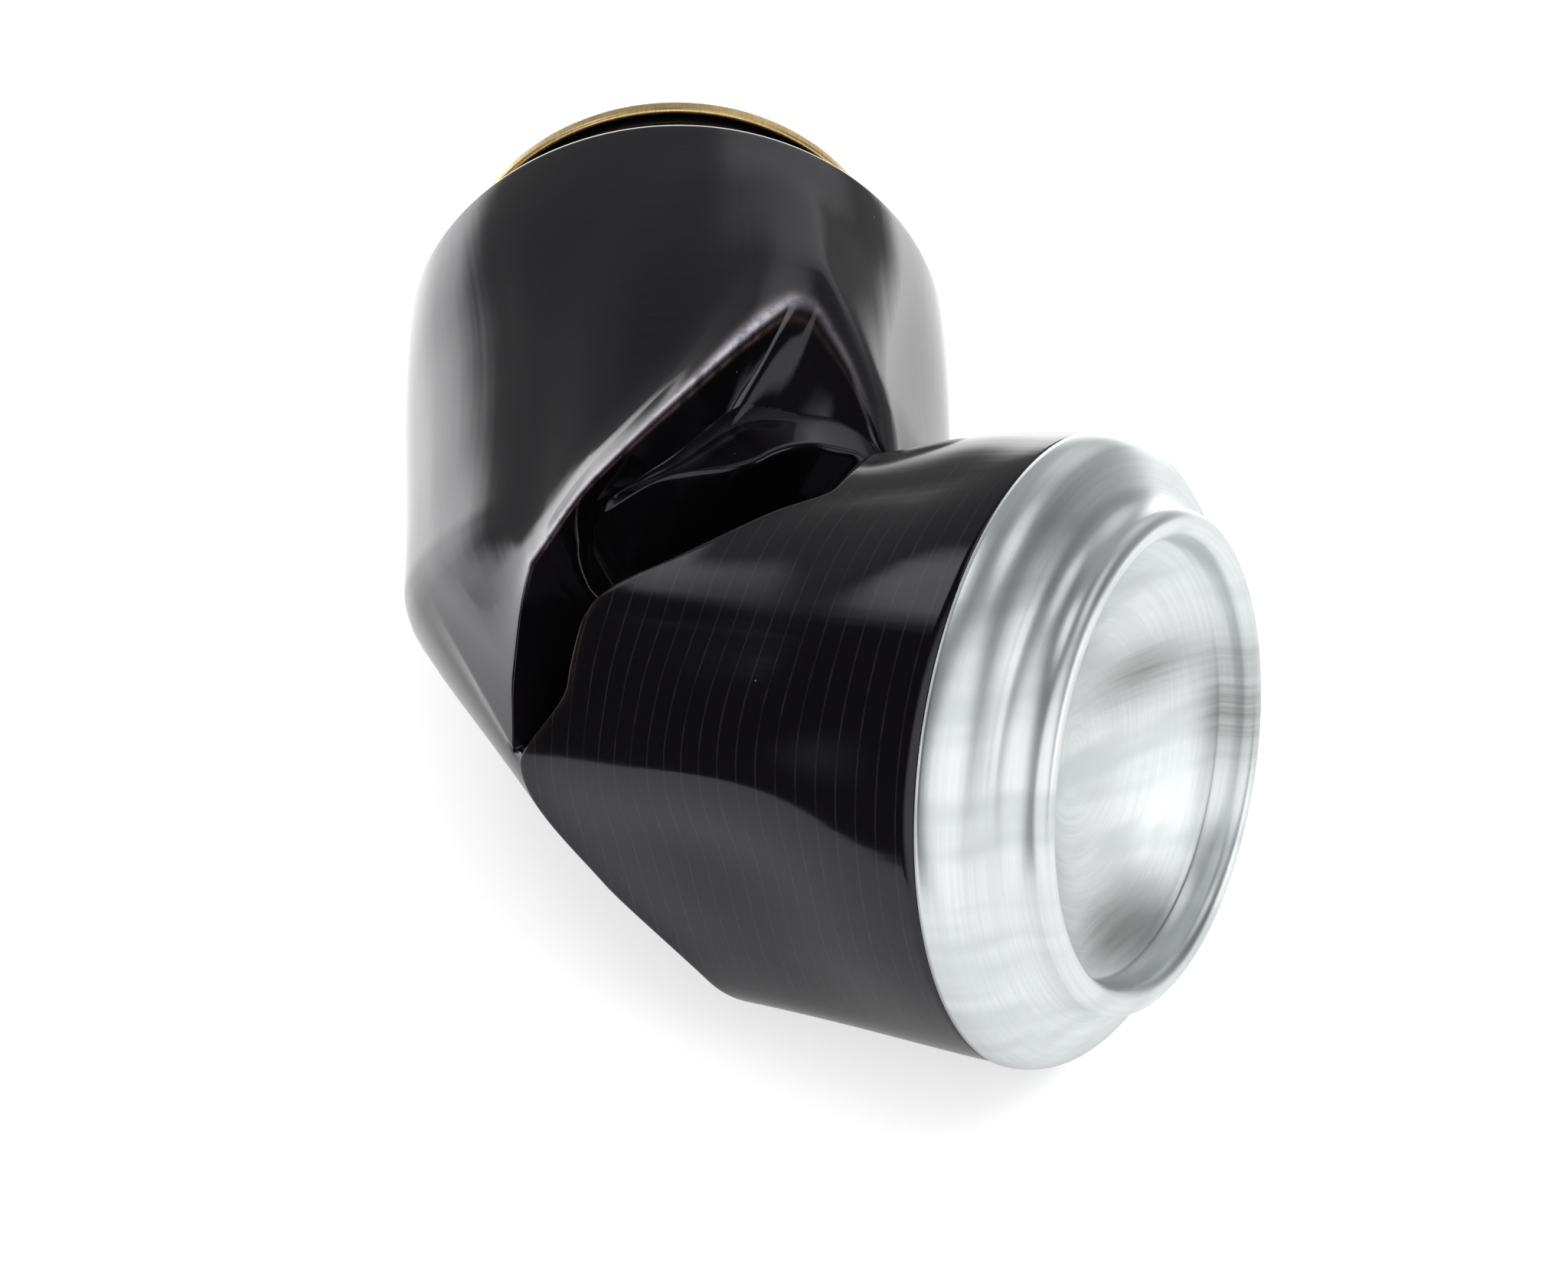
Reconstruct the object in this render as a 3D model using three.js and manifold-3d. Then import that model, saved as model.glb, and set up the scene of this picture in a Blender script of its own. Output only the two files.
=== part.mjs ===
// Half-litre aluminium drink can, emptied, opened and bent double at a crushed waist.
// Millimetres, +Z up. The can lies on its side, as it comes to rest on a floor.
import * as THREE from 'three';
import { mergeVertices } from 'three/addons/utils/BufferGeometryUtils.js';
import Module from 'manifold-3d';

// Sizes of the can before it was crushed
const CAN_DIAMETER = 66.2;
const CAN_HEIGHT = 168;
const BASE_HEIGHT = 10.4;
const NECK_HEIGHT = 14.9;
const NECK_STRAIGHT = 4.7;
const SHOULDER_BEND = 1.4;
const WALL = 0.4;
const STAND_RING_DIAMETER = 49.6;
const STAND_RING_NOSE = 1.3;
const DOME_DEPTH = 10;

// Sizes of the lid, its opened mouth and its tab
const SEAM_DIAMETER = 54.8;
const SEAM_HEIGHT = 2.6;
const END_SHEET = 0.5;
const SEAM_FIT = 0.45;
const COUNTERSINK_DEPTH = 6.8;
const COUNTERSINK_WIDTH = 1.6;
const CHUCK_WALL_TAPER = 1.9;
const PANEL_DEPTH = 4;
const MOUTH_WIDTH = 20;
const MOUTH_LENGTH = 15;
const MOUTH_FROM_RIVET = 4.6;
const TEAR_PANEL_CLEARANCE = 0.6;
const TEAR_PANEL_DROP = 68;
const RIVET_DIAMETER = 3.2;
const RIVET_HEAD_DIAMETER = 5.2;
const RIVET_HEAD_HEIGHT = 0.7;
const TAB_LENGTH = 24;
const TAB_WIDTH = 15.5;
const TAB_NOSE = 7.6;
const TAB_SHEET = 1;
const TAB_GAP = 0.35;
const MOUTH_TURN = 64;

// How the can is bent: the kink sits this share of the way up the straightened middle line
const BEND_ANGLE = 60.5;
const KINK_SHARE = 0.43;
const FOLD_TAKE_UP = 34;
const FAR_HEADING = -2.6;
const FAR_TILT = 7.95;
const BEND_ROLL = -16.3;
const FOLD_CORE_OFFSET = 5;
const FOLD_REACH = 0.76;
const OUTER_PLAIN_FROM = 147;
const OUTER_PLAIN_TO = 222;
const PLAIN_FADE = 7;
const PLAIN_FADE_UNDER = 40;
const PLAIN_FOLD_SHARE = 0.12;
const POCKET_FROM = 30;
const POCKET_TO = 92;
const POCKET_FADE = 12;
const POCKET_SAG = 2.2;
const CREASE_SOFTNESS = 2.5;
const FLOOR_SOFTNESS = 0.3;

// Fineness of the facets
const COLUMNS = 60;
const NEAR_ROWS = 5;
const PLEAT_ROWS = 3;
const LID_SEGMENTS = 40;

// Creases go once round the can. Each point holds its turn on the uncrushed wall, its angle on
// its own half, its radius as a share of the can's, and its distance along that half from the kink.
// Angle 0 is the inside of the bend, 90 is on top and 180 is the outside of the bend.
const NEAR_LIP = [
  [0, 0, 0.96, 25],
  [20, 20, 0.93, 24],
  [38, 37, 0.88, 23.5],
  [52, 50.4, 0.85, 23],
  [78, 80, 0.9, 25.3],
  [90, 90.8, 0.93, 20.5],
  [104, 104.3, 0.955, 12.7],
  [110, 110.2, 0.965, 8.2],
  [113, 113.5, 0.97, 6.2],
  [115, 115.7, 0.972, 5.2],
  [121, 120.9, 0.98, 4.4],
  [132, 132.2, 0.99, 4.4],
  [147, 150, 0.99, -1.2],
  [175, 174.8, 1, 6.3],
  [197, 197.2, 1, 15.6],
  [215, 215, 0.96, 18],
  [240, 240, 0.9, 14],
  [262, 262, 0.9, 17],
  [290, 289, 0.9, 24],
  [325, 324, 0.93, 25],
];
const FAR_LIP = [
  [0, 0, 0.935, 18],
  [16, 14, 0.945, 15],
  [30, 29, 0.967, 11.7],
  [34, 33.3, 0.97, 17],
  [39, 38.4, 0.98, 23.9],
  [46, 45.4, 0.985, 31.7],
  [52, 51.2, 1, 30.6],
  [75, 74.5, 1, 10.7],
  [91, 89.9, 1, -0.7],
  [107, 104.5, 0.96, -9.5],
  [128, 118, 0.79, -17.8],
  [147, 133, 0.674, -24.1],
  [222, 222, 0.9, 5],
  [240, 240, 0.92, 2],
  [262, 262, 0.95, 6],
  [285, 284, 0.97, 12],
  [308, 308, 1, 20],
  [330, 330, 0.955, 15],
];
const FAR_BEND = [
  [0, 0, 0.945, 20],
  [30, 29, 0.97, 20],
  [39, 39, 0.985, 31],
  [46, 46, 1, 38],
  [52, 52, 1, 38],
  [75, 75, 1, 18],
  [91, 91, 1, 7],
  [107, 107, 0.98, -2],
  [114, 113.6, 0.98, 1.3],
  [128, 128, 0.98, 3],
  [147, 144, 0.975, 5.5],
  [165, 165, 0.95, 12],
  [180, 180, 0.93, 18],
  [200, 200, 0.93, 20],
  [220, 220, 0.95, 16],
  [240, 240, 0.96, 12],
  [262, 262, 0.97, 14],
  [300, 300, 1, 28],
  [325, 325, 0.965, 26],
];

// Inside the pocket on top, the far side steps down into a valley and over a second, lower ridge
const POCKET_VALLEY = [
  [30, 29.3, 0.955, 11],
  [34, 34.9, 0.93, 15.1],
  [39, 42.1, 0.9, 15.8],
  [45, 50.7, 0.86, 14.9],
  [50, 59.8, 0.82, 14.3],
  [56, 64.1, 0.8, 13.2],
  [64, 69.1, 0.79, 11],
  [75, 77.4, 0.79, 7],
  [91, 91.6, 0.82, 2.3],
  [107, 100.3, 0.86, -3.7],
];
const POCKET_RIDGE = [
  [30, 29.6, 0.935, 10.4],
  [35, 35.2, 0.91, 11.9],
  [40, 41.4, 0.88, 11.9],
  [46, 48.3, 0.865, 10.7],
  [52, 53.8, 0.855, 8.7],
  [57, 57.9, 0.85, 6.7],
  [65, 65.6, 0.84, 5],
  [75, 75.4, 0.82, 4.8],
  [91, 92.4, 0.79, 1.5],
  [107, 108.1, 0.76, -1.1],
];

// The creases were laid out on a can of this radius, and their distances grow with the can's own
const CREASE_RADIUS = 33.1;
const RADIUS = CAN_DIAMETER / 2;
const CREASE_SCALE = RADIUS / CREASE_RADIUS;
const WALL_LENGTH = CAN_HEIGHT - BASE_HEIGHT - NECK_HEIGHT;
const NEAR_LENGTH = KINK_SHARE * (WALL_LENGTH - FOLD_TAKE_UP * CREASE_SCALE);
const FAR_LENGTH = (1 - KINK_SHARE) * (WALL_LENGTH - FOLD_TAKE_UP * CREASE_SCALE);
const toRadians = THREE.MathUtils.degToRad;
const mix = THREE.MathUtils.lerp;

const wasm = await Module();
wasm.setup();

// Directions of the two halves, seen from the kink at the origin
const farAxis = new THREE.Vector3(
  Math.sin(toRadians(FAR_HEADING)) * Math.cos(toRadians(FAR_TILT)),
  Math.cos(toRadians(FAR_HEADING)) * Math.cos(toRadians(FAR_TILT)),
  Math.sin(toRadians(FAR_TILT)),
);
const bendNormal = new THREE.Vector3(0, 0, 1)
  .addScaledVector(farAxis, -farAxis.z)
  .normalize()
  .applyAxisAngle(farAxis, toRadians(BEND_ROLL));
const farInner = new THREE.Vector3().crossVectors(farAxis, bendNormal);
const nearAxis = farAxis.clone().applyAxisAngle(bendNormal, toRadians(BEND_ANGLE - 180));
const nearInner = new THREE.Vector3().crossVectors(bendNormal, nearAxis);
const bendInner = new THREE.Vector3().addVectors(farInner, nearInner).normalize();
const bendAcross = new THREE.Vector3().crossVectors(bendNormal, bendInner);
const foldCore = bendInner.clone().multiplyScalar(-FOLD_CORE_OFFSET * CREASE_SCALE);

// A point of a half, from its angle in degrees, its radius and its distance from the kink
function halfPoint(axis, inner, angle, radius, along) {
  return new THREE.Vector3()
    .addScaledVector(axis, along)
    .addScaledVector(inner, radius * Math.cos(toRadians(angle)))
    .addScaledVector(bendNormal, radius * Math.sin(toRadians(angle)));
}

function nearPoint(angle, radius, along) {
  return halfPoint(nearAxis, nearInner, angle, radius, along);
}

function farPoint(angle, radius, along) {
  return halfPoint(farAxis, farInner, angle, radius, along);
}

// The straight-sided crease at a turn: the list closes on its first point, one turn on
function straightCrease(crease, turn) {
  const around = THREE.MathUtils.euclideanModulo(turn, 360);
  const shifted = (point, by) => point.map((value, i) => (i < 2 ? value + by : value));
  const closed = [shifted(crease.at(-1), -360), ...crease, shifted(crease[0], 360)];
  const next = closed.findIndex((point) => point[0] > around);
  const share = (around - closed[next - 1][0]) / (closed[next][0] - closed[next - 1][0]);
  const [, angle, radius, along] = closed[next].map((value, i) => mix(closed[next - 1][i], value, share));
  return { angle: angle + turn - around, radius: radius * RADIUS, along: along * CREASE_SCALE };
}

// The crease with its corners eased over a small turn
function creaseAt(crease, turn) {
  const before = straightCrease(crease, turn - CREASE_SOFTNESS);
  const here = straightCrease(crease, turn);
  const after = straightCrease(crease, turn + CREASE_SOFTNESS);
  const ease = (name) => (before[name] + 2 * here[name] + after[name]) / 4;
  return { angle: ease('angle'), radius: ease('radius'), along: ease('along') };
}

// Profile of the drawn base from the wall to the middle of the dome: radius, distance past the wall
const ringRadius = STAND_RING_DIAMETER / 2;
const ringTop = BASE_HEIGHT - STAND_RING_NOSE;
const baseCurve = new THREE.Path();
baseCurve.moveTo(RADIUS, 0);
baseCurve.bezierCurveTo(
  RADIUS, 0.34 * BASE_HEIGHT,
  mix(ringRadius, RADIUS, 0.72), 0.42 * BASE_HEIGHT,
  mix(ringRadius, RADIUS, 0.46), 0.53 * BASE_HEIGHT,
);
const ringOutside = ringRadius + STAND_RING_NOSE;
baseCurve.quadraticCurveTo(ringOutside, 0.63 * BASE_HEIGHT, ringOutside, ringTop);
baseCurve.absarc(ringRadius, ringTop, STAND_RING_NOSE, 0, Math.PI, false);
baseCurve.lineTo(ringRadius - 1.2 * STAND_RING_NOSE, BASE_HEIGHT - 0.36 * DOME_DEPTH);
baseCurve.quadraticCurveTo(0.5 * ringRadius, BASE_HEIGHT - DOME_DEPTH, 0, BASE_HEIGHT - DOME_DEPTH);
const baseProfile = baseCurve.getPoints(3);

// Profile of the neck from the wall to the edge that the seam rolls over
const neckRadius = SEAM_DIAMETER / 2 - END_SHEET - SEAM_FIT;
const neckTop = NECK_HEIGHT - 2 * END_SHEET;
const coneTop = NECK_HEIGHT - NECK_STRAIGHT;
const shoulderCorner = new THREE.Vector2(RADIUS, SHOULDER_BEND / 2);
const neckCorner = new THREE.Vector2(neckRadius, coneTop);
const coneStart = shoulderCorner.clone().lerp(neckCorner, SHOULDER_BEND / coneTop);
const coneEnd = shoulderCorner.clone().lerp(neckCorner, 1 - SHOULDER_BEND / coneTop);
const neckCurve = new THREE.Path();
neckCurve.moveTo(RADIUS, 0);
neckCurve.quadraticCurveTo(shoulderCorner.x, shoulderCorner.y, coneStart.x, coneStart.y);
neckCurve.lineTo(coneEnd.x, coneEnd.y);
neckCurve.quadraticCurveTo(neckCorner.x, neckCorner.y, neckRadius, coneTop + SHOULDER_BEND);
neckCurve.lineTo(neckRadius, neckTop);
const neckProfile = neckCurve.getPoints(2);

// The floor touches the lower of the two ends, and the crushed wall is pressed flat on it
let floorLevel = Infinity;
for (let turn = 0; turn < 360; turn += 360 / COLUMNS) {
  const nearRing = nearPoint(turn, RADIUS, NEAR_LENGTH);
  const farRing = farPoint(turn, RADIUS, FAR_LENGTH);
  floorLevel = Math.min(floorLevel, nearRing.z, farRing.z);
}

function pressOnFloor(point) {
  const above = (point.z - floorLevel) / FLOOR_SOFTNESS;
  point.z = floorLevel + FLOOR_SOFTNESS * (above > 30 ? above : Math.log1p(Math.exp(above)));
  return point;
}

// Smooth rise from 0 at one value to 1 at another
const rise = THREE.MathUtils.smoothstep;

// Straight run of points after the first one, up to and including the last
function straightRun(from, to, steps) {
  return Array.from({ length: steps }, (_, i) => from.clone().lerp(to, (i + 1) / steps));
}

// One line of the wall from the base to the neck: near half, pleat and far half.
// Each half is round at its end and crushed at its lip. The wall keeps its length, so what the two
// halves don't use goes into the depth of the pleat.
function wallLine(turn) {
  const lip = creaseAt(NEAR_LIP, turn);
  const bend = creaseAt(FAR_BEND, turn);
  const ridge = creaseAt(FAR_LIP, turn);
  const nearLip = pressOnFloor(nearPoint(lip.angle, lip.radius, lip.along));
  const farBend = pressOnFloor(farPoint(bend.angle, bend.radius, bend.along));
  const plain = rise(turn, OUTER_PLAIN_FROM - PLAIN_FADE, OUTER_PLAIN_FROM)
    * (1 - rise(turn, OUTER_PLAIN_TO, OUTER_PLAIN_TO + PLAIN_FADE_UNDER));
  const farLip = pressOnFloor(farPoint(ridge.angle, ridge.radius, ridge.along))
    .lerp(nearLip.clone().lerp(farBend, PLAIN_FOLD_SHARE), plain);
  const mouth = nearLip.distanceTo(farLip);
  const used = NEAR_LENGTH - lip.along + FAR_LENGTH - bend.along + farBend.distanceTo(farLip);
  const spare = WALL_LENGTH - used;
  const middle = nearLip.clone().lerp(farLip, 0.5);
  const inward = foldCore.clone().sub(middle);
  const depth = 0.5 * Math.sqrt(Math.max(0, spare * spare - mouth * mouth)) * (1 - plain);
  const reach = Math.min(depth, FOLD_REACH * inward.length());
  const valley = middle.addScaledVector(inward.clone().normalize(), reach);
  valley.addScaledVector(bendAcross, -Math.max(0, Math.cos(toRadians(turn))) * valley.dot(bendAcross));
  const nearWall = Array.from({ length: NEAR_ROWS }, (_, i) => {
    const share = i / (NEAR_ROWS - 1);
    const crush = rise(share, 0, 1);
    const radius = mix(RADIUS, lip.radius, crush);
    return nearPoint(mix(turn, lip.angle, crush), radius, mix(NEAR_LENGTH, lip.along, share));
  });
  const farWall = [0.25, 0.5, 0.75, 1].map((share) => {
    const crush = 1 - rise(share, 0, 1);
    const radius = mix(RADIUS, bend.radius, crush);
    return farPoint(mix(turn, bend.angle, crush), radius, mix(bend.along, FAR_LENGTH, share));
  });
  const pocket = rise(turn, POCKET_FROM - POCKET_FADE, POCKET_FROM)
    * (1 - rise(turn, POCKET_TO, POCKET_TO + POCKET_FADE));
  const inPocket = THREE.MathUtils.clamp(turn, POCKET_FROM, POCKET_TO + POCKET_FADE);
  const lower = creaseAt(POCKET_RIDGE, inPocket);
  const upper = creaseAt(POCKET_VALLEY, inPocket);
  const pocketRidge = valley.clone().lerp(farLip, 0.5)
    .lerp(farPoint(lower.angle, lower.radius, lower.along), pocket);
  const pocketValley = valley.clone().lerp(farLip, 0.75)
    .lerp(farPoint(upper.angle, upper.radius, upper.along), pocket);
  const pocketFace = straightRun(pocketValley, farLip, 2);
  pocketFace[0].addScaledVector(farPoint(turn, 1, 0), -0.5 * POCKET_SAG * CREASE_SCALE * pocket);
  return [
    ...nearWall,
    ...straightRun(nearLip, valley, PLEAT_ROWS),
    ...straightRun(valley, pocketRidge, 2),
    ...straightRun(pocketRidge, pocketValley, 2),
    ...pocketFace,
    ...straightRun(farLip, farBend, 2),
    ...farWall,
  ].map(pressOnFloor);
}

// Outer face of the body, one column for each turn, from the middle of the dome to the neck's edge
const columns = [];
for (let i = 0; i < COLUMNS; i += 1) {
  const turn = (360 * i) / COLUMNS;
  const base = baseProfile.slice(1, -1).reverse().map((p) => nearPoint(turn, p.x, NEAR_LENGTH + p.y));
  const neck = neckProfile.slice(1).map((p) => farPoint(turn, p.x, FAR_LENGTH + p.y));
  columns.push([...base, ...wallLine(turn), ...neck]);
}
const rows = columns[0].length;
const domeMiddle = nearPoint(0, 0, NEAR_LENGTH + BASE_HEIGHT - DOME_DEPTH);

// Triangles of the outer face, with the dome's middle as the last vertex
const outerVertices = [...columns.flat(), domeMiddle];
const outerTriangles = [];
for (let i = 0; i < COLUMNS; i += 1) {
  const here = i * rows;
  const next = ((i + 1) % COLUMNS) * rows;
  outerTriangles.push([columns.length * rows, here, next]);
  for (let j = 0; j < rows - 1; j += 1) {
    outerTriangles.push([here + j, next + j + 1, next + j]);
    outerTriangles.push([here + j, here + j + 1, next + j + 1]);
  }
}

// Inner face: the outer face moved in by the wall along its own normals, then joined at the neck
const normals = outerVertices.map(() => new THREE.Vector3());
for (const [a, b, c] of outerTriangles) {
  const side = outerVertices[b].clone().sub(outerVertices[a]);
  const across = outerVertices[c].clone().sub(outerVertices[a]);
  const normal = side.cross(across).normalize();
  for (const corner of [a, b, c]) {
    normals[corner].add(normal);
  }
}

// At the bottom of the pleat the normals of its two sides nearly cancel, so there they point out of it
const valleyRow = baseProfile.length - 2 + NEAR_ROWS + PLEAT_ROWS - 1;
for (let i = 0; i < COLUMNS; i += 1) {
  const bottom = i * rows + valleyRow;
  const toLip = outerVertices[bottom - 1].clone().sub(outerVertices[bottom]).normalize();
  const toRidge = outerVertices[bottom + 1].clone().sub(outerVertices[bottom]).normalize();
  normals[bottom].multiplyScalar(0.05).add(toLip).add(toRidge);
}
const count = outerVertices.length;
const innerVertices = outerVertices.map((p, i) => p.clone().addScaledVector(normals[i].normalize(), -WALL));
const innerTriangles = outerTriangles.map(([a, b, c]) => [a + count, c + count, b + count]);
const bodyTriangles = [...outerTriangles, ...innerTriangles];
for (let i = 0; i < COLUMNS; i += 1) {
  const here = i * rows + rows - 1;
  const next = ((i + 1) % COLUMNS) * rows + rows - 1;
  bodyTriangles.push([here, next + count, next]);
  bodyTriangles.push([here, here + count, next + count]);
}
const bodyGeometry = new THREE.BufferGeometry();
const bodyPositions = [...outerVertices, ...innerVertices].flatMap((p) => p.toArray());
bodyGeometry.setAttribute('position', new THREE.Float32BufferAttribute(bodyPositions, 3));
bodyGeometry.setIndex(bodyTriangles.flat());

// Closed solid for joining and cutting
function toSolid(geometry) {
  const bare = geometry.clone();
  bare.deleteAttribute('normal');
  bare.deleteAttribute('uv');
  const merged = mergeVertices(bare, 1e-4);
  return new wasm.Manifold(new wasm.Mesh({
    numProp: 3,
    vertProperties: new Float32Array(merged.attributes.position.array),
    triVerts: new Uint32Array(merged.index.array),
  }));
}

function toGeometry(solid) {
  const mesh = solid.getMesh();
  const geometry = new THREE.BufferGeometry();
  geometry.setAttribute('position', new THREE.BufferAttribute(new Float32Array(mesh.vertProperties), 3));
  geometry.setIndex(new THREE.BufferAttribute(new Uint32Array(mesh.triVerts), 1));
  return geometry;
}

// Round piece about the z axis from a profile of radius and height
function turned(profile, segments) {
  return new THREE.LatheGeometry(profile, segments).rotateX(Math.PI / 2);
}

// Closed outline of a bent sheet that starts on the axis, from its middle line
function sheetOutline(line, thickness) {
  const side = (sign) => line.map((p, i) => {
    const before = line[Math.max(i - 1, 0)];
    const after = line[Math.min(i + 1, line.length - 1)];
    const along = after.clone().sub(before).normalize();
    return new THREE.Vector2(
      i === 0 ? 0 : p.x - (sign * along.y * thickness) / 2,
      p.y + (sign * along.x * thickness) / 2,
    );
  });
  return [...side(-1), ...side(1).reverse()];
}

// Lid: panel, countersink, chuck wall and seam, measured down from the top of the seam
const crestRadius = neckRadius - WALL / 2;
const seamRadius = SEAM_DIAMETER / 2 - END_SHEET / 2;
const crestBend = seamRadius - crestRadius;
const chuckRadius = crestRadius - crestBend;
const sinkOuter = chuckRadius - CHUCK_WALL_TAPER;
const sinkInner = sinkOuter - COUNTERSINK_WIDTH;
const sinkBottom = -COUNTERSINK_DEPTH + COUNTERSINK_WIDTH / 2;
const lidLine = new THREE.Path();
lidLine.moveTo(0, -PANEL_DEPTH - 0.6 * END_SHEET);
lidLine.lineTo(sinkInner - 3.6, -PANEL_DEPTH - 0.6 * END_SHEET);
lidLine.lineTo(sinkInner - 2.6, -PANEL_DEPTH);
lidLine.lineTo(sinkInner - 0.7, -PANEL_DEPTH);
lidLine.quadraticCurveTo(sinkInner, -PANEL_DEPTH, sinkInner, -PANEL_DEPTH - 0.7);
lidLine.lineTo(sinkInner, sinkBottom);
const sinkBend = COUNTERSINK_WIDTH / 2;
lidLine.absarc(sinkInner + sinkBend, sinkBottom, sinkBend, Math.PI, 2 * Math.PI, false);
lidLine.lineTo(chuckRadius, -END_SHEET / 2 - crestBend);
lidLine.absarc(crestRadius, -END_SHEET / 2 - crestBend, crestBend, Math.PI, 0, true);
lidLine.lineTo(seamRadius, -SEAM_HEIGHT);
const lidPoints = lidLine.getPoints(3).filter((p, i, all) => i === 0 || p.distanceTo(all[i - 1]) > 0.05);
const lidSheet = toSolid(turned(sheetOutline(lidPoints, END_SHEET), LID_SEGMENTS));

// Mouth, its tear panel folded down inside, and the formed rivet
const panelTop = -PANEL_DEPTH - 0.1 * END_SHEET;
const panelUnder = panelTop - END_SHEET;
const mouthMiddle = MOUTH_FROM_RIVET + MOUTH_LENGTH / 2;
const mouthShape = new THREE.Shape();
mouthShape.absellipse(mouthMiddle, 0, MOUTH_LENGTH / 2, MOUTH_WIDTH / 2, 0, 2 * Math.PI);
const mouthCutter = new THREE.ExtrudeGeometry(mouthShape, {
  depth: 6 * END_SHEET,
  bevelEnabled: false,
  curveSegments: 14,
});
mouthCutter.translate(0, 0, panelUnder - 2.5 * END_SHEET);
const tearShape = new THREE.Shape();
tearShape.absellipse(0, MOUTH_WIDTH / 2, MOUTH_LENGTH / 2 - TEAR_PANEL_CLEARANCE,
  MOUTH_WIDTH / 2 - TEAR_PANEL_CLEARANCE, 0, 2 * Math.PI);
const tearPanel = new THREE.ExtrudeGeometry(tearShape, {
  depth: END_SHEET,
  bevelEnabled: false,
  curveSegments: 14,
});
tearPanel.translate(0, -TEAR_PANEL_CLEARANCE - 2 * END_SHEET, -END_SHEET);
tearPanel.rotateX(-toRadians(TEAR_PANEL_DROP));
tearPanel.translate(mouthMiddle, -MOUTH_WIDTH / 2, panelUnder + 0.5 * END_SHEET);
const rivetHeadBase = panelTop + TAB_GAP + TAB_SHEET + TAB_GAP;
const rivetProfile = [
  new THREE.Vector2(0, panelUnder + 0.5 * END_SHEET),
  new THREE.Vector2(RIVET_DIAMETER / 2, panelUnder + 0.5 * END_SHEET),
  new THREE.Vector2(RIVET_DIAMETER / 2, rivetHeadBase),
  new THREE.Vector2(RIVET_HEAD_DIAMETER / 2, rivetHeadBase),
  new THREE.Vector2(RIVET_HEAD_DIAMETER / 2 - 0.3, rivetHeadBase + 0.7 * RIVET_HEAD_HEIGHT),
  new THREE.Vector2(RIVET_DIAMETER / 2, rivetHeadBase + RIVET_HEAD_HEIGHT),
  new THREE.Vector2(0, rivetHeadBase + RIVET_HEAD_HEIGHT),
];
const rivet = turned(rivetProfile, 20);
const lidSolid = lidSheet.subtract(toSolid(mouthCutter)).add(toSolid(tearPanel)).add(toSolid(rivet));

// Tab: a rounded plate with a finger hole, its nose over the mouth
const tabBevel = 0.3 * TAB_SHEET;
const tabMiddle = TAB_NOSE - TAB_LENGTH / 2;
const tabShape = new THREE.Shape();
tabShape.absellipse(tabMiddle, 0, TAB_LENGTH / 2 - tabBevel, TAB_WIDTH / 2 - tabBevel, 0, 2 * Math.PI);
const rivetHole = new THREE.Path();
rivetHole.absarc(0, 0, RIVET_DIAMETER / 2 + TAB_GAP + tabBevel, 0, 2 * Math.PI, true);
const fingerMiddle = tabMiddle - 0.2 * TAB_LENGTH;
const fingerHole = new THREE.Path();
fingerHole.absellipse(fingerMiddle, 0, 0.19 * TAB_LENGTH, 0.3 * TAB_WIDTH, 0, 2 * Math.PI, true);
tabShape.holes.push(rivetHole, fingerHole);
const tabGeometry = new THREE.ExtrudeGeometry(tabShape, {
  depth: TAB_SHEET - 2 * tabBevel,
  bevelSize: tabBevel,
  bevelThickness: tabBevel,
  bevelSegments: 1,
  curveSegments: 12,
});
tabGeometry.translate(0, 0, panelTop + TAB_GAP + tabBevel);

// Colours: near-black gloss print, gold lacquer and bare aluminium
const printMaterial = new THREE.MeshStandardMaterial({ color: 0x141216, roughness: 0.2, metalness: 0.1 });
const goldMaterial = new THREE.MeshStandardMaterial({ color: 0xb08a4e, roughness: 0.3, metalness: 1 });
const tabMaterial = new THREE.MeshStandardMaterial({ color: 0xb9b7b2, roughness: 0.3, metalness: 1 });

const body = new THREE.Mesh(bodyGeometry, printMaterial);
body.name = 'can_body';
const lid = new THREE.Mesh(toGeometry(lidSolid), goldMaterial);
lid.name = 'can_end';
const tab = new THREE.Mesh(tabGeometry, tabMaterial);
tab.name = 'pull_tab';

// The lid's own frame: z out of the far end, x towards the mouth
const mouthSide = farPoint(MOUTH_TURN, 1, 0);
const acrossMouth = new THREE.Vector3().crossVectors(farAxis, mouthSide);
const farEnd = new THREE.Group();
farEnd.quaternion.setFromRotationMatrix(new THREE.Matrix4().makeBasis(mouthSide, acrossMouth, farAxis));
farEnd.position.copy(farPoint(0, 0, FAR_LENGTH + NECK_HEIGHT));
farEnd.add(lid, tab);

// The whole can, moved so that it lies on the floor with its box centred on the origin
const can = new THREE.Group();
can.add(body, farEnd);
const box = new THREE.Box3().setFromObject(can, true);
const boxMiddle = box.getCenter(new THREE.Vector3());
can.position.set(-boxMiddle.x, -boxMiddle.y, -box.min.z);

export default can;
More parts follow.
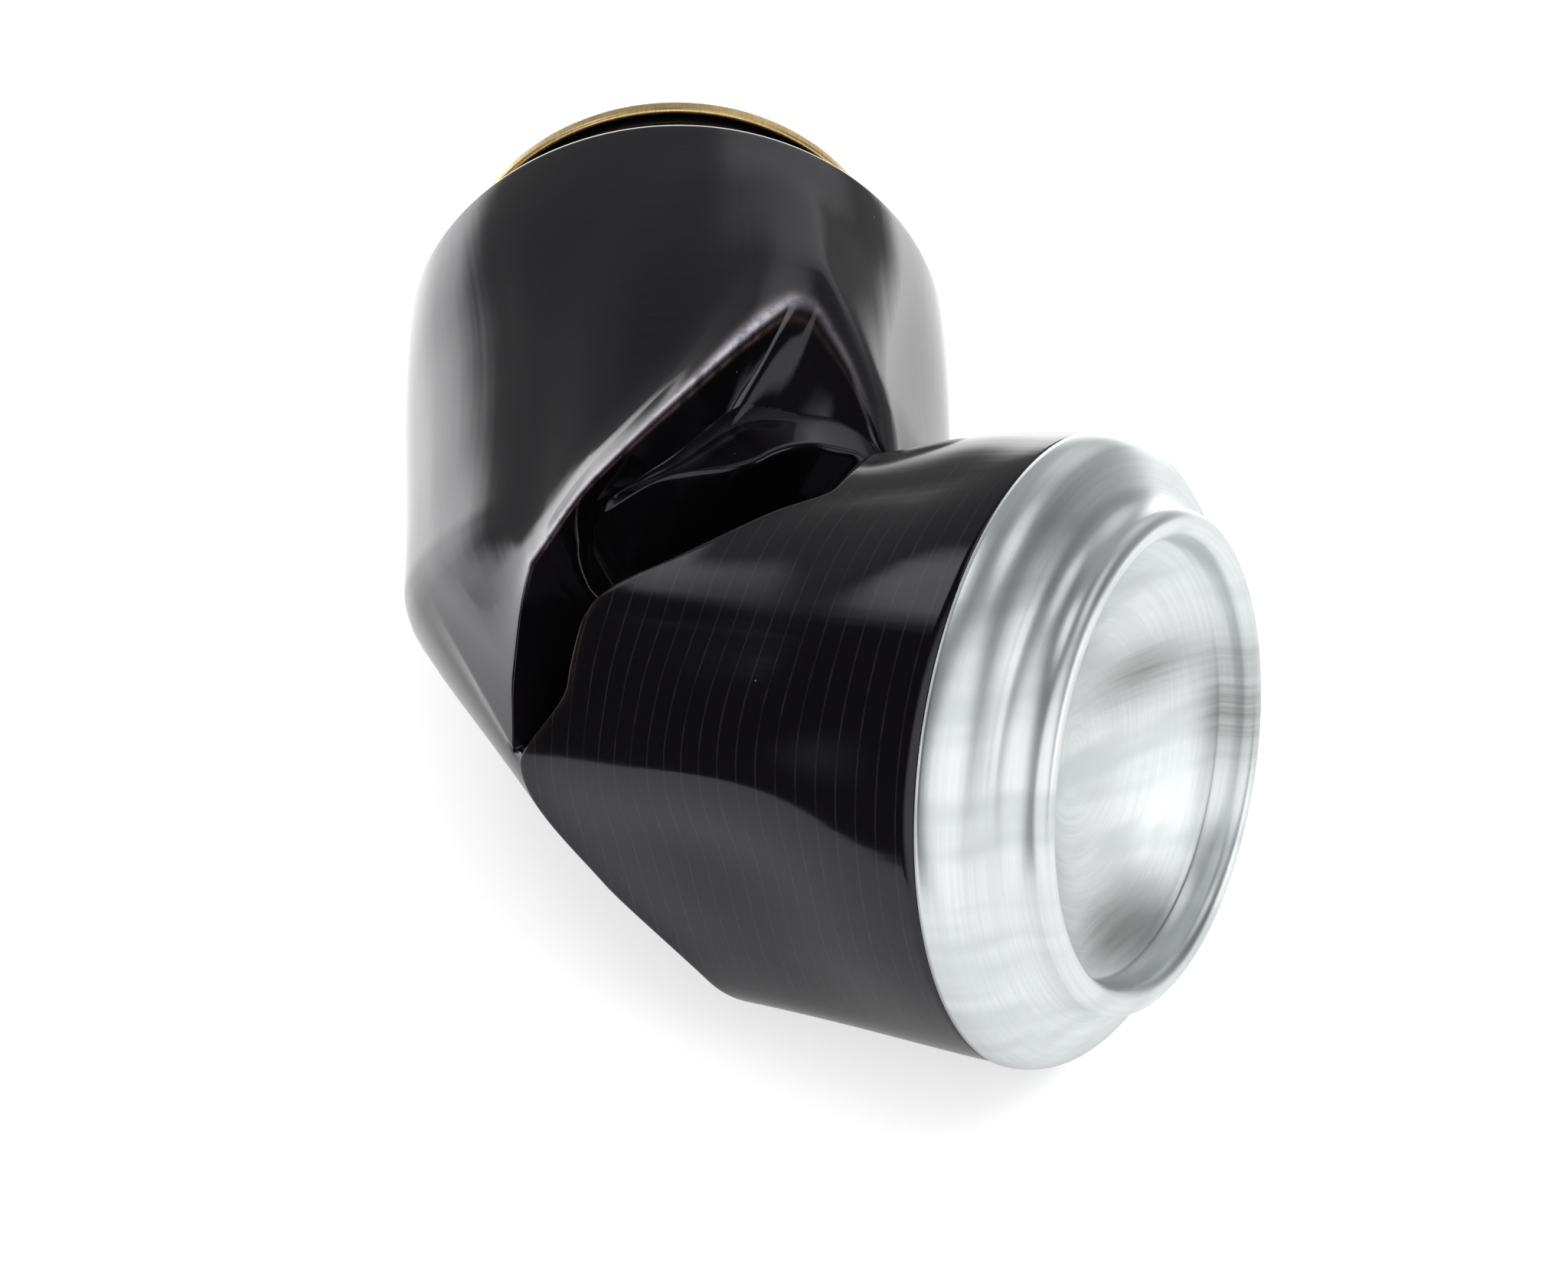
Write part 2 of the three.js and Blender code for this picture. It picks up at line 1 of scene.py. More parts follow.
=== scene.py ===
"""Crushed half-litre drink can, bent double at its waist, lying on a pale studio floor."""
import bpy
import bmesh
import numpy as np
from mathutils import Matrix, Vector


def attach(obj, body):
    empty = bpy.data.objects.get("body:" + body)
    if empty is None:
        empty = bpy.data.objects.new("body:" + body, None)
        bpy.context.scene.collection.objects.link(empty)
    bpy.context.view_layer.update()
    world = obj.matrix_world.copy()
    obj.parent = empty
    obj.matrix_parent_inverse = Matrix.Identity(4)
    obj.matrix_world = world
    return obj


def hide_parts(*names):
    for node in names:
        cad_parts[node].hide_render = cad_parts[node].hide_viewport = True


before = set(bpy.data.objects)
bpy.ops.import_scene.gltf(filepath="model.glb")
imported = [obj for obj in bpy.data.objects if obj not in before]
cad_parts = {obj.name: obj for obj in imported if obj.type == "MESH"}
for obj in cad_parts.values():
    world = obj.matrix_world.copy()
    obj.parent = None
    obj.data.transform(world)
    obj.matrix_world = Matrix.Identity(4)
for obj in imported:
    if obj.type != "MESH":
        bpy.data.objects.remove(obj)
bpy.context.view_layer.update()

# The printed wall.
# Drawn aluminium about a tenth of a millimetre thick, with a gloss near-black print and fine pale hairlines round
# it. The can was bent double over its waist, so the wall is folded into a pleat with a pocket on top.
MM = 0.001
KINK = np.array([-13.0565, -13.7977, 24.4308])
RADIUS = 33.1
CAN_HEIGHT = 168.0
BASE_HEIGHT = 10.4
NECK_HEIGHT = 14.9
WALL_LENGTH = CAN_HEIGHT - BASE_HEIGHT - NECK_HEIGHT
PRINT_SHEET = 0.12

BEND_ANGLE = 60.5
KINK_SHARE = 0.43
FOLD_TAKE_UP = 34.0
FAR_HEADING = -2.6
FAR_TILT = 7.95
BEND_ROLL = -16.3
FOLD_CORE_OFFSET = 5.0
FOLD_REACH = 0.76
NEAR_LENGTH = KINK_SHARE * (WALL_LENGTH - FOLD_TAKE_UP)
FAR_LENGTH = (1 - KINK_SHARE) * (WALL_LENGTH - FOLD_TAKE_UP)

# Each crease goes once round the can. A point holds its turn on the uncrushed wall, its angle on its own half, its
# radius as a share of the can's and its distance along that half from the kink. Angle 0 is the inside of the bend,
# 90 is on top and 180 is the outside of the bend.
NEAR_LIP = [
    (0, 0, 0.96, 25), (20, 20, 0.93, 24), (38, 37, 0.88, 23.5), (52, 50.4, 0.85, 23), (78, 80, 0.9, 25.3),
    (90, 90.8, 0.93, 20.5), (104, 104.3, 0.955, 12.7), (110, 110.2, 0.965, 8.2), (113, 113.5, 0.97, 6.2),
    (115, 115.7, 0.972, 5.2), (121, 120.9, 0.98, 4.4), (132, 132.2, 0.99, 4.4), (147, 150, 0.99, -1.2),
    (175, 174.8, 1, 6.3), (197, 197.2, 1, 15.6), (215, 215, 0.96, 18), (240, 240, 0.9, 14), (262, 262, 0.9, 17),
    (290, 289, 0.9, 24), (325, 324, 0.93, 25),
]
FAR_LIP = [
    (0, 0, 0.935, 18), (16, 14, 0.945, 15), (30, 29, 0.967, 11.7), (34, 33.3, 0.97, 17), (39, 38.4, 0.98, 23.9),
    (44.6, 44, 0.984, 30.2), (46, 45.4, 0.985, 31.7), (47.4, 46.8, 0.989, 31.6), (51, 50.2, 0.999, 31.1),
    (52, 51.2, 1, 30.6), (53, 52.2, 1, 29.8), (75, 74.5, 1, 10.7), (91, 89.9, 1, -0.7),
    (105.6, 103.2, 0.964, -8.8), (107, 104.5, 0.96, -9.5), (108.4, 105.4, 0.949, -10.1), (128, 118, 0.79, -17.8),
    (147, 133, 0.674, -24.1), (222, 222, 0.9, 5), (240, 240, 0.92, 2), (262, 262, 0.95, 6), (285, 284, 0.97, 12),
    (308, 308, 1, 20), (330, 330, 0.955, 15),
]
FAR_BEND = [
    (0, 0, 0.945, 20), (30, 29, 0.97, 20), (39, 39, 0.985, 31), (46, 46, 1, 38), (52, 52, 1, 38),
    (75, 75, 1, 18), (91, 91, 1, 7), (107, 107, 0.98, -2), (114, 113.6, 0.98, 1.3), (128, 128, 0.98, 3),
    (147, 144, 0.975, 5.5), (165, 165, 0.95, 12), (180, 180, 0.93, 18), (200, 200, 0.93, 20),
    (220, 220, 0.95, 16), (240, 240, 0.96, 12), (262, 262, 0.97, 14), (300, 300, 1, 28), (325, 325, 0.965, 26),
]
POCKET_VALLEY = [
    (30, 29.3, 0.955, 11), (34, 34.2, 0.919, 15.7), (39, 40.6, 0.87, 17.4), (45, 49.1, 0.814, 17.1),
    (50, 58.5, 0.763, 16.8), (56, 63.2, 0.745, 15.6), (64, 68.7, 0.745, 12.9), (75, 77.5, 0.767, 7.9),
    (91, 91.6, 0.82, 2.3), (107, 100.3, 0.86, -3.7),
]
POCKET_RIDGE = [
    (30, 29.6, 0.935, 10.4), (35, 35.2, 0.91, 11.9), (40, 41.4, 0.88, 11.9), (46, 48.3, 0.865, 10.7),
    (52, 53.8, 0.855, 8.7), (57, 57.9, 0.85, 6.7), (65, 65.6, 0.84, 5), (75, 75.4, 0.82, 4.8), (91, 92.4, 0.79, 1.5),
    (107, 108.1, 0.76, -1.1),
]


def unit(vectors):
    """Vectors scaled to length one."""
    return vectors / np.linalg.norm(vectors, axis=-1, keepdims=True)


def turned(vector, axis, degrees):
    """A vector turned about a unit axis: its part along the axis stays, the rest mixes with the cross product."""
    along = axis * np.dot(axis, vector)
    angle = np.radians(degrees)
    return along + (vector - along) * np.cos(angle) + np.cross(axis, vector) * np.sin(angle)


heading, tilt = np.radians(FAR_HEADING), np.radians(FAR_TILT)
far_axis = np.array([np.sin(heading) * np.cos(tilt), np.cos(heading) * np.cos(tilt), np.sin(tilt)])
bend_normal = turned(unit(np.array([0, 0, 1.0]) - far_axis * far_axis[2]), far_axis, BEND_ROLL)
far_inner = np.cross(far_axis, bend_normal)
near_axis = turned(far_axis, bend_normal, BEND_ANGLE - 180)
near_inner = np.cross(bend_normal, near_axis)
bend_inner = unit(far_inner + near_inner)
bend_across = np.cross(bend_normal, bend_inner)
fold_core = -FOLD_CORE_OFFSET * bend_inner


def on_half(axis, inner, angle, radius, along):
    """Point of a half: so far along its axis, and so far from it at an angle in degrees from the inside of the bend."""
    angle = np.radians(np.asarray(angle, float))[..., None]
    radius = np.asarray(radius, float)[..., None]
    along = np.asarray(along, float)[..., None]
    return axis * along + radius * (inner * np.cos(angle) + bend_normal * np.sin(angle))


def on_near(angle, radius, along):
    """Point of the half with the base."""
    return on_half(near_axis, near_inner, angle, radius, along)


def on_far(angle, radius, along):
    """Point of the half with the lid."""
    return on_half(far_axis, far_inner, angle, radius, along)


def crease_at(points, turn, closed=True):
    """Angle, radius and distance of a crease at each turn.

    A cubic runs between each two points. Its slope at a point is the harmonic mean of the slopes on both sides, and
    flat at a peak, so the crease never swings past its points. A closed crease goes on from its first point.
    """
    table = np.array(points, float)
    once = np.array([360, 360, 0, 0])
    if closed:
        table = np.vstack([table[-3:] - once, table, table[:3] + once])
    else:
        table = np.vstack([table[:1] - [20, 0, 0, 0], table, table[-1:] + [20, 0, 0, 0]])
    at, values = table[:, 0], table[:, 1:]
    step = np.diff(at)[:, None]
    slope = np.diff(values, axis=0) / step
    before, after = slope[:-1], slope[1:]
    same = before * after > 0
    middle = np.where(same, 2 * before * after / np.where(same, before + after, 1), 0)
    tangent = np.vstack([slope[:1], middle, slope[-1:]])
    turn = np.clip(turn, at[1], at[-2])
    k = np.clip(np.searchsorted(at, turn, "right") - 1, 0, len(step) - 1)
    s = ((turn - at[k]) / step[k, 0])[:, None]
    found = (values[k] * (1 + 2 * s) * (1 - s) ** 2 + tangent[k] * step[k] * s * (1 - s) ** 2
             + values[k + 1] * s * s * (3 - 2 * s) + tangent[k + 1] * step[k] * s * s * (s - 1))
    return found[:, 0], found[:, 1] * RADIUS, found[:, 2]


def smooth_step(x, low, high):
    """Smooth rise from 0 at low to 1 at high: 3s^2 - 2s^3."""
    s = np.clip((x - low) / (high - low), 0, 1)
    return s * s * (3 - 2 * s)


def between(x, rise_from, rise_to, fall_from, fall_to):
    """Smooth rise from 0 to 1 and fall back to 0: the product of one smooth step and one less another."""
    return smooth_step(x, rise_from, rise_to) * (1 - smooth_step(x, fall_from, fall_to))


def mix(a, b, share):
    """Straight mix of a and b."""
    return a + (b - a) * share


def run_of(start, end, steps):
    """Straight lines from the start points to the end points, without the start points: columns by steps by xyz."""
    share = (np.arange(1, steps + 1) / steps)[None, :, None]
    return mix(start[:, None, :], end[:, None, :], share)


def eased(line, at, reach):
    """Mean of a sampled line over a stretch of so many samples on both sides of each place: it rounds its corners.

    The running total of the line between samples is a parabola, and the mean is the total's rise over the stretch.
    """
    total = np.concatenate([np.zeros_like(line[:, :1]), np.cumsum((line[:, 1:] + line[:, :-1]) / 2, axis=1)], axis=1)

    def total_at(x):
        i = np.clip(np.floor(x).astype(int), 0, line.shape[1] - 2)
        f = (x - i)[None, :, None]
        return total[:, i] + f * line[:, i] + f * f / 2 * (line[:, i + 1] - line[:, i])

    low, high = np.maximum(at - reach, 0), np.minimum(at + reach, line.shape[1] - 1)
    return (total_at(high) - total_at(low)) / (high - low)[None, :, None]


NEAR_STEPS, FOLD_STEPS, FAR_STEPS = 60, (26, 16, 14, 18, 12), 70
crease_rows = np.cumsum((NEAR_STEPS,) + FOLD_STEPS)
lip_row, valley_row, pocket_ridge_row, pocket_valley_row, far_lip_row, far_bend_row = crease_rows
floor_ring = np.arange(0, 360, 0.5)
floor_level = min(on_near(floor_ring, np.full(720, RADIUS), np.full(720, NEAR_LENGTH))[:, 2].min(),
                  on_far(floor_ring, np.full(720, RADIUS), np.full(720, FAR_LENGTH))[:, 2].min())
FLOOR_SOFTNESS = 0.3
POCKET_SAG = 0.5
PLAIN_TURNS = (140, 147, 222, 262)
POCKET_TURNS = (18, 30, 92, 104)

# Shallow dents and swellings of each half, in mm outwards: a row for each share of the way from its plain end to its
# lip, a column for each turn. Each is a smooth bell, and the plain end itself stays round.
DENT_TURNS = np.arange(40, 201, 20)
DENT_TURN_REACH = 16.0
DENT_SHARES = np.array([0.25, 0.5, 0.75, 1.0])
DENT_SHARE_REACH = 0.2
ROUND_SHARE = 0.35
NEAR_DENTS = np.array([
    [0, 0.3, -0.2, 0.2, -0.1, 0.6, -0.6, -0.3, 0],
    [0, 1.1, -0.3, -0.3, -0.7, 1.7, -2, -1.1, 0],
    [0, 1.2, -0.3, 0, -1.3, 0.5, -1.3, -1.4, 0],
    [0, 0.5, 0.1, -0.6, -0.8, -1.2, -2, -2, 0],
])
FAR_DENTS = np.array([
    [-0.2, 0.3, 0.1, -0.4, -1.1, -0.5, 0.2, 0, 0],
    [0.3, -0.3, 0.3, -1.6, -1.6, -0.6, 0.1, 0, 0],
    [0.6, -0.5, -0.4, -2, -1.3, -0.3, -0.1, 0, 0],
    [0.9, -0.4, -1.9, -1.4, -0.5, -0.1, 0, 0, 0],
])


def dented(turn, share, dents):
    """Change of radius at each turn and share: the sum of the bells, each an exponential of minus a square."""
    across = np.exp(-((turn[:, None] - DENT_TURNS[None, :]) / DENT_TURN_REACH) ** 2)
    along = np.exp(-((share[:, None] - DENT_SHARES[None, :]) / DENT_SHARE_REACH) ** 2)
    return across @ dents.T @ along.T * smooth_step(share, 0, ROUND_SHARE)[None, :]


def pressed(points):
    """Points pressed flat on the floor: height over it becomes the log of one plus its exponential."""
    above = (points[..., 2:] - floor_level) / FLOOR_SOFTNESS
    level = floor_level + FLOOR_SOFTNESS * np.logaddexp(0, above)
    return np.concatenate([points[..., :2], level], axis=-1)


def wall_lines(turn):
    """Lines of the crushed wall from base to neck, one for each turn: near half, pleat and far half.

    Each half is round at its end and crushed at its lip. The length of wall that the halves don't use goes into the
    depth of the pleat between the two lips, up to a share of the way to the fold's core. Below the floor the wall is
    pressed flat on it.
    """
    lip_angle, lip_radius, lip_along = crease_at(NEAR_LIP, turn)
    bend_angle, bend_radius, bend_along = crease_at(FAR_BEND, turn)
    near_share, far_share = np.linspace(0, 1, NEAR_STEPS + 1), np.linspace(1, 0, FAR_STEPS + 1)
    near_dent, far_dent = dented(turn, near_share, NEAR_DENTS), dented(turn, far_share, FAR_DENTS)
    lip_radius, bend_radius = lip_radius + near_dent[:, -1], bend_radius + far_dent[:, 0]
    near_lip = pressed(on_near(lip_angle, lip_radius, lip_along))
    far_bend = pressed(on_far(bend_angle, bend_radius, bend_along))
    plain = between(turn, *PLAIN_TURNS)[:, None]
    far_lip = mix(pressed(on_far(*crease_at(FAR_LIP, turn))), mix(near_lip, far_bend, 0.12), plain)
    mouth = np.linalg.norm(far_lip - near_lip, axis=1)
    spare = (WALL_LENGTH - (NEAR_LENGTH - lip_along) - (FAR_LENGTH - bend_along)
             - np.linalg.norm(far_bend - far_lip, axis=1))
    middle = (near_lip + far_lip) / 2
    inward = fold_core - middle
    reach = np.linalg.norm(inward, axis=1)
    depth = 0.5 * np.sqrt(np.maximum(0, spare ** 2 - mouth ** 2)) * (1 - plain[:, 0])
    valley = middle + inward * (np.minimum(depth, FOLD_REACH * reach) / reach)[:, None]
    valley = valley - bend_across * (np.maximum(0, np.cos(np.radians(turn))) * (valley @ bend_across))[:, None]
    pocket = between(turn, *POCKET_TURNS)[:, None]
    pocket_ridge = mix(mix(valley, far_lip, 0.5), on_far(*crease_at(POCKET_RIDGE, turn, False)), pocket)
    pocket_valley = mix(mix(valley, far_lip, 0.75), on_far(*crease_at(POCKET_VALLEY, turn, False)), pocket)
    crush = smooth_step(near_share, 0, 1)[None, :]
    near_radius = mix(RADIUS, lip_radius[:, None] - near_dent[:, -1:], crush) + near_dent
    near = on_near(mix(turn[:, None], lip_angle[:, None], crush), near_radius,
                   mix(NEAR_LENGTH, lip_along[:, None], near_share[None, :]))
    crush = smooth_step(far_share, 0, 1)[None, 1:]
    far_radius = mix(RADIUS, bend_radius[:, None] - far_dent[:, :1], crush) + far_dent[:, 1:]
    far = on_far(mix(turn[:, None], bend_angle[:, None], crush), far_radius,
                 mix(FAR_LENGTH, bend_along[:, None], far_share[None, 1:]))
    fold = [run_of(near_lip, valley, FOLD_STEPS[0]), run_of(valley, pocket_ridge, FOLD_STEPS[1]),
            run_of(pocket_ridge, pocket_valley, FOLD_STEPS[2]), run_of(pocket_valley, far_lip, FOLD_STEPS[3]),
            run_of(far_lip, far_bend, FOLD_STEPS[4])]
    share = (np.arange(1, FOLD_STEPS[3] + 1) / FOLD_STEPS[3])[None, :, None]
    outward = on_far(turn, 1, 0)[:, None, :]
    fold[3] = fold[3] - outward * (POCKET_SAG * pocket)[:, None, :] * 4 * share ** 2 * (1 - share)
    return pressed(np.concatenate([near] + fold + [far], axis=1))


def rows_between(ends, counts):
    """Rows spread evenly between each two ends, so many to each stretch, with the last end added."""
    runs = [np.linspace(a, b, n, endpoint=False) for a, b, n in zip(ends[:-1], ends[1:], counts)]
    return np.concatenate(runs + [[ends[-1]]])


def bezier(points, count):
    """Curve of the control points, in count steps, by mixing neighbours until one point is left."""
    s = np.linspace(0, 1, count + 1)[:, None]
    points = [np.array(p, float) for p in points]
    while len(points) > 1:
        points = [mix(a, b, s) for a, b in zip(points[:-1], points[1:])]
    return points[0]


def grid_mesh(name, grid, wrap_rows=False, flip=False, fields=None):
    """Piece from a grid of points in mm, columns by rows, closed round its columns and, if asked, round its rows.

    Each cell is a face. Points that fall together, as at a pole, are merged. Fields are values for each point.
    """
    columns, rows = grid.shape[:2]
    i = np.arange(columns)[:, None]
    j = np.arange(rows if wrap_rows else rows - 1)[None, :]
    here, beside = i * rows + j, (i + 1) % columns * rows + j
    here_up, beside_up = i * rows + (j + 1) % rows, (i + 1) % columns * rows + (j + 1) % rows
    corners = [here, beside, beside_up, here_up]
    faces = np.stack(corners[::-1] if flip else corners, axis=-1).reshape(-1, 4)
    mesh = bpy.data.meshes.new(name)
    mesh.from_pydata(((grid.reshape(-1, 3) + KINK) * MM).tolist(), [], faces.tolist())
    for field, values in (fields or {}).items():
        kind, slot = ("FLOAT_VECTOR", "vector") if values.ndim == 3 else ("FLOAT", "value")
        layer = mesh.attributes.new(field, kind, "POINT")
        layer.data.foreach_set(slot, np.ascontiguousarray(values, np.float32).ravel())
    work = bmesh.new()
    work.from_mesh(mesh)
    bmesh.ops.remove_doubles(work, verts=work.verts, dist=1e-8)
    work.to_mesh(mesh)
    work.free()
    mesh.polygons.foreach_set("use_smooth", np.ones(len(mesh.polygons), bool))
    piece = bpy.data.objects.new(name, mesh)
    bpy.context.collection.objects.link(piece)
    return piece


def grid_normals(grid):
    """Outward unit normals of a grid that is closed round its columns: the cross product of its two directions."""
    across = np.roll(grid, -1, axis=0) - np.roll(grid, 1, axis=0)
    return unit(np.cross(np.gradient(grid, axis=1), across) + 1e-12)


SEAM_RADIUS = 27.4
NECK_STRAIGHT = 4.7
SHOULDER_BEND = 1.0
neck_radius = SEAM_RADIUS - 0.95
shoulder_corner = np.array([RADIUS, SHOULDER_BEND / 2])
neck_corner = np.array([neck_radius, NECK_HEIGHT - NECK_STRAIGHT])
bend_share = SHOULDER_BEND / neck_corner[1]
cone_start, cone_end = mix(shoulder_corner, neck_corner, bend_share), mix(neck_corner, shoulder_corner, bend_share)
neck_profile = np.vstack([
    bezier([(RADIUS, 0), shoulder_corner, cone_start], 8),
    bezier([cone_start, cone_end], 6)[1:],
    bezier([cone_end, neck_corner, neck_corner + [0, SHOULDER_BEND]], 6)[1:],
    [(neck_radius, NECK_HEIGHT - 1)],
])
neck_length = np.linalg.norm(np.diff(neck_profile, axis=0), axis=1).sum()
WALL_COLUMNS = 400
turn = np.arange(WALL_COLUMNS) * 360 / WALL_COLUMNS
line = wall_lines(turn)
last_row = line.shape[1] - 1
rows = rows_between(
    [0, lip_row - 5, lip_row + 5, valley_row - 4, valley_row + 4, pocket_ridge_row - 4, pocket_ridge_row + 4,
     pocket_valley_row - 4, pocket_valley_row + 4, far_lip_row - 5, far_lip_row + 5, far_bend_row + 8, last_row],
    [28, 18, 8, 8, 4, 12, 4, 8, 5, 22, 12, 26])
crease_roundness = np.array([0.7, 0.8, 0.7, 0.9, 0.4, 4.0])
room = crease_roundness[:, None] + 0.5 * np.abs(rows[None, :] - crease_rows[:, None])
reach_at = np.minimum(room.min(axis=0), 0.01 + 0.5 * np.minimum(rows, last_row - rows)).clip(0.01, 5)
wall = eased(line, rows, reach_at)
neck = pressed(on_far(turn[:, None], neck_profile[None, 1:, 0], FAR_LENGTH + neck_profile[None, 1:, 1]))
outer = np.concatenate([wall, neck], axis=1)

step_length = np.linalg.norm(np.diff(outer, axis=1), axis=2)
from_base = np.concatenate([np.zeros((WALL_COLUMNS, 1)), np.cumsum(step_length, axis=1)], axis=1)
from_neck = WALL_LENGTH + neck_length - (from_base[:, -1:] - from_base)
row_number = np.concatenate([rows, last_row + 1 + np.arange(neck.shape[1])])
height = mix(from_base, from_neck, smooth_step(row_number, lip_row, far_lip_row)[None, :])
uncrushed = np.stack([RADIUS * np.cos(np.radians(turn))[:, None] + 0 * height,
                      RADIUS * np.sin(np.radians(turn))[:, None] + 0 * height, height], axis=-1)

# The far lip is worn bare along its crest and rubbed just inside it. The pale crest is partly worn sheet and partly a
# painted highlight. The near lip has a painted highlight on its left. Widths are in rows of the wall.
BARE_SHEEN_INSIDE, BARE_SHEEN_OUTSIDE = 0.8, 2.0
RUB_INSIDE, RUB_WIDTH = 2.4, 0.6
LIP_HIGHLIGHT_INSIDE, LIP_HIGHLIGHT_WIDTH = 1.4, 1.5
LIP_HIGHLIGHT_TURNS = (96, 112, 146, 154)
past_ridge = (row_number - far_lip_row)[None, :]
# Pale band along the far crest: partly bare worn sheet, partly a painted highlight on the ridge.
wear_and_sheen_length = ((0.15 * smooth_step(turn, 32, 40) + 0.85 * smooth_step(turn, 47, 60))
               * (1 - smooth_step(turn, 100, 116)))[:, None]
bare_sheen_edge = wear_and_sheen_length * np.exp(-(past_ridge / np.where(past_ridge < 0, BARE_SHEEN_INSIDE, BARE_SHEEN_OUTSIDE)) ** 2)
rubbed_and_lit_edge = wear_and_sheen_length * np.exp(-((past_ridge + RUB_INSIDE) / RUB_WIDTH) ** 2)
past_lip = (row_number - lip_row)[None, :]
# Painted highlight along the near lip's left, standing in for light caught on its rolled edge.
lip_highlight = between(turn, *LIP_HIGHLIGHT_TURNS)[:, None]
rubbed_and_lit_edge = rubbed_and_lit_edge + 0.4 * lip_highlight * np.exp(-((past_lip - LIP_HIGHLIGHT_INSIDE) / LIP_HIGHLIGHT_WIDTH) ** 2)
outside = (1 - smooth_step(row_number, lip_row, lip_row + 4)
           + smooth_step(row_number, far_lip_row - 1, far_lip_row + 1))
ridge_wear_and_sheen = np.stack([bare_sheen_edge, rubbed_and_lit_edge, outside[None, :] + 0 * bare_sheen_edge], axis=-1)

inner_rows = np.unique(np.append(np.arange(0, outer.shape[1], 5), outer.shape[1] - 1))[::-1]
inner = (outer - PRINT_SHEET * grid_normals(outer))[:, inner_rows]
shell = np.concatenate([outer, inner], axis=1)
printed_wall = grid_mesh("printed_wall", shell, wrap_rows=True, flip=True, fields={
    "uncrushed": np.concatenate([uncrushed, uncrushed[:, inner_rows]], axis=1),
    "ridge_wear_and_sheen": np.concatenate([ridge_wear_and_sheen, 0 * ridge_wear_and_sheen[:, inner_rows]], axis=1),
})


def new_material(name):
    """Material with an empty node tree, and its shader joined to the output."""
    material = bpy.data.materials.new(name)
    material.use_nodes = True
    tree = material.node_tree
    tree.nodes.clear()
    shader = tree.nodes.new("ShaderNodeBsdfPrincipled")
    output = tree.nodes.new("ShaderNodeOutputMaterial")
    tree.links.new(shader.outputs["BSDF"], output.inputs["Surface"])
    return material, tree, shader


def feed(tree, socket, value):
    """Number, colour or vector set on a socket, or another socket linked to it."""
    if isinstance(value, bpy.types.NodeSocket):
        tree.links.new(value, socket)
    elif isinstance(value, tuple):
        socket.default_value = value + (1,) if len(socket.default_value) > len(value) else value
    else:
        socket.default_value = value


def reckon(tree, operation, first, second=0.0, third=0.0):
    """Math node on numbers or sockets, and its result."""
    node = tree.nodes.new("ShaderNodeMath")
    node.operation = operation
    for socket, value in zip(node.inputs, (first, second, third)):
        feed(tree, socket, value)
    return node.outputs[0]


def times(tree, first, second):
    """Product of two numbers or sockets."""
    return reckon(tree, "MULTIPLY", first, second)


def ramp_up(tree, value, low, high, to_low=0.0, to_high=1.0):
    """Smooth change of a socket's value, from to_low at low to to_high at high."""
    node = tree.nodes.new("ShaderNodeMapRange")
    node.interpolation_type = "SMOOTHSTEP"
    names = ("Value", "From Min", "From Max", "To Min", "To Max")
    for name, number in zip(names, (value, low, high, to_low, to_high)):
        feed(tree, node.inputs[name], number)
    return node.outputs["Result"]


def field(tree, name, kind="Vector"):
    """A piece's own values by name, as a vector or as a number with the kind Fac."""
    node = tree.nodes.new("ShaderNodeAttribute")
    node.attribute_name = name
    return node.outputs[kind]


def stretched(tree, vector, scale):
    """Vector scaled along its own axes."""
    node = tree.nodes.new("ShaderNodeVectorMath")
    node.operation = "MULTIPLY"
    feed(tree, node.inputs[0], vector)
    feed(tree, node.inputs[1], scale)
    return node.outputs[0]


def parts_of(tree, vector):
    """The three numbers of a vector."""
    node = tree.nodes.new("ShaderNodeSeparateXYZ")
    tree.links.new(vector, node.inputs[0])
    return node.outputs


def noise(tree, vector, scale, detail=2.0, roughness=0.5):
    """Cloudy noise from 0 to 1, mostly near a half."""
    node = tree.nodes.new("ShaderNodeTexNoise")
    for name, value in (("Vector", vector), ("Scale", scale), ("Detail", detail), ("Roughness", roughness)):
        feed(tree, node.inputs[name], value)
    return node.outputs["Fac"]


def blend(tree, share, first, second):
    """Colour mixed from the first to the second by a share."""
    node = tree.nodes.new("ShaderNodeMix")
    node.data_type = "RGBA"
    feed(tree, node.inputs["Factor"], share)
    feed(tree, node.inputs[6], first)
    feed(tree, node.inputs[7], second)
    return node.outputs[2]


def bumped(tree, shader, height, depth, strength=1.0):
    """Shader's normal tilted by a height from 0 to 1 that stands for so many metres."""
    node = tree.nodes.new("ShaderNodeBump")
    feed(tree, node.inputs["Strength"], strength)
    feed(tree, node.inputs["Distance"], depth)
    feed(tree, node.inputs["Height"], height)
    tree.links.new(node.outputs["Normal"], shader.inputs["Normal"])


PRINT_BLACK = (0.0036, 0.003, 0.0038)
HAIRLINE = (0.019, 0.017, 0.016)
HAIRLINE_SPACING = 2.2
HAIRLINE_CORE, HAIRLINE_EDGE = 0.05, 0.12
SPECK = (0.4, 0.3, 0.16)
# Colour of the far crest: partly bare worn sheet, partly painted highlight.
WORN_SHEET_SHEEN = (0.6, 0.57, 0.64)
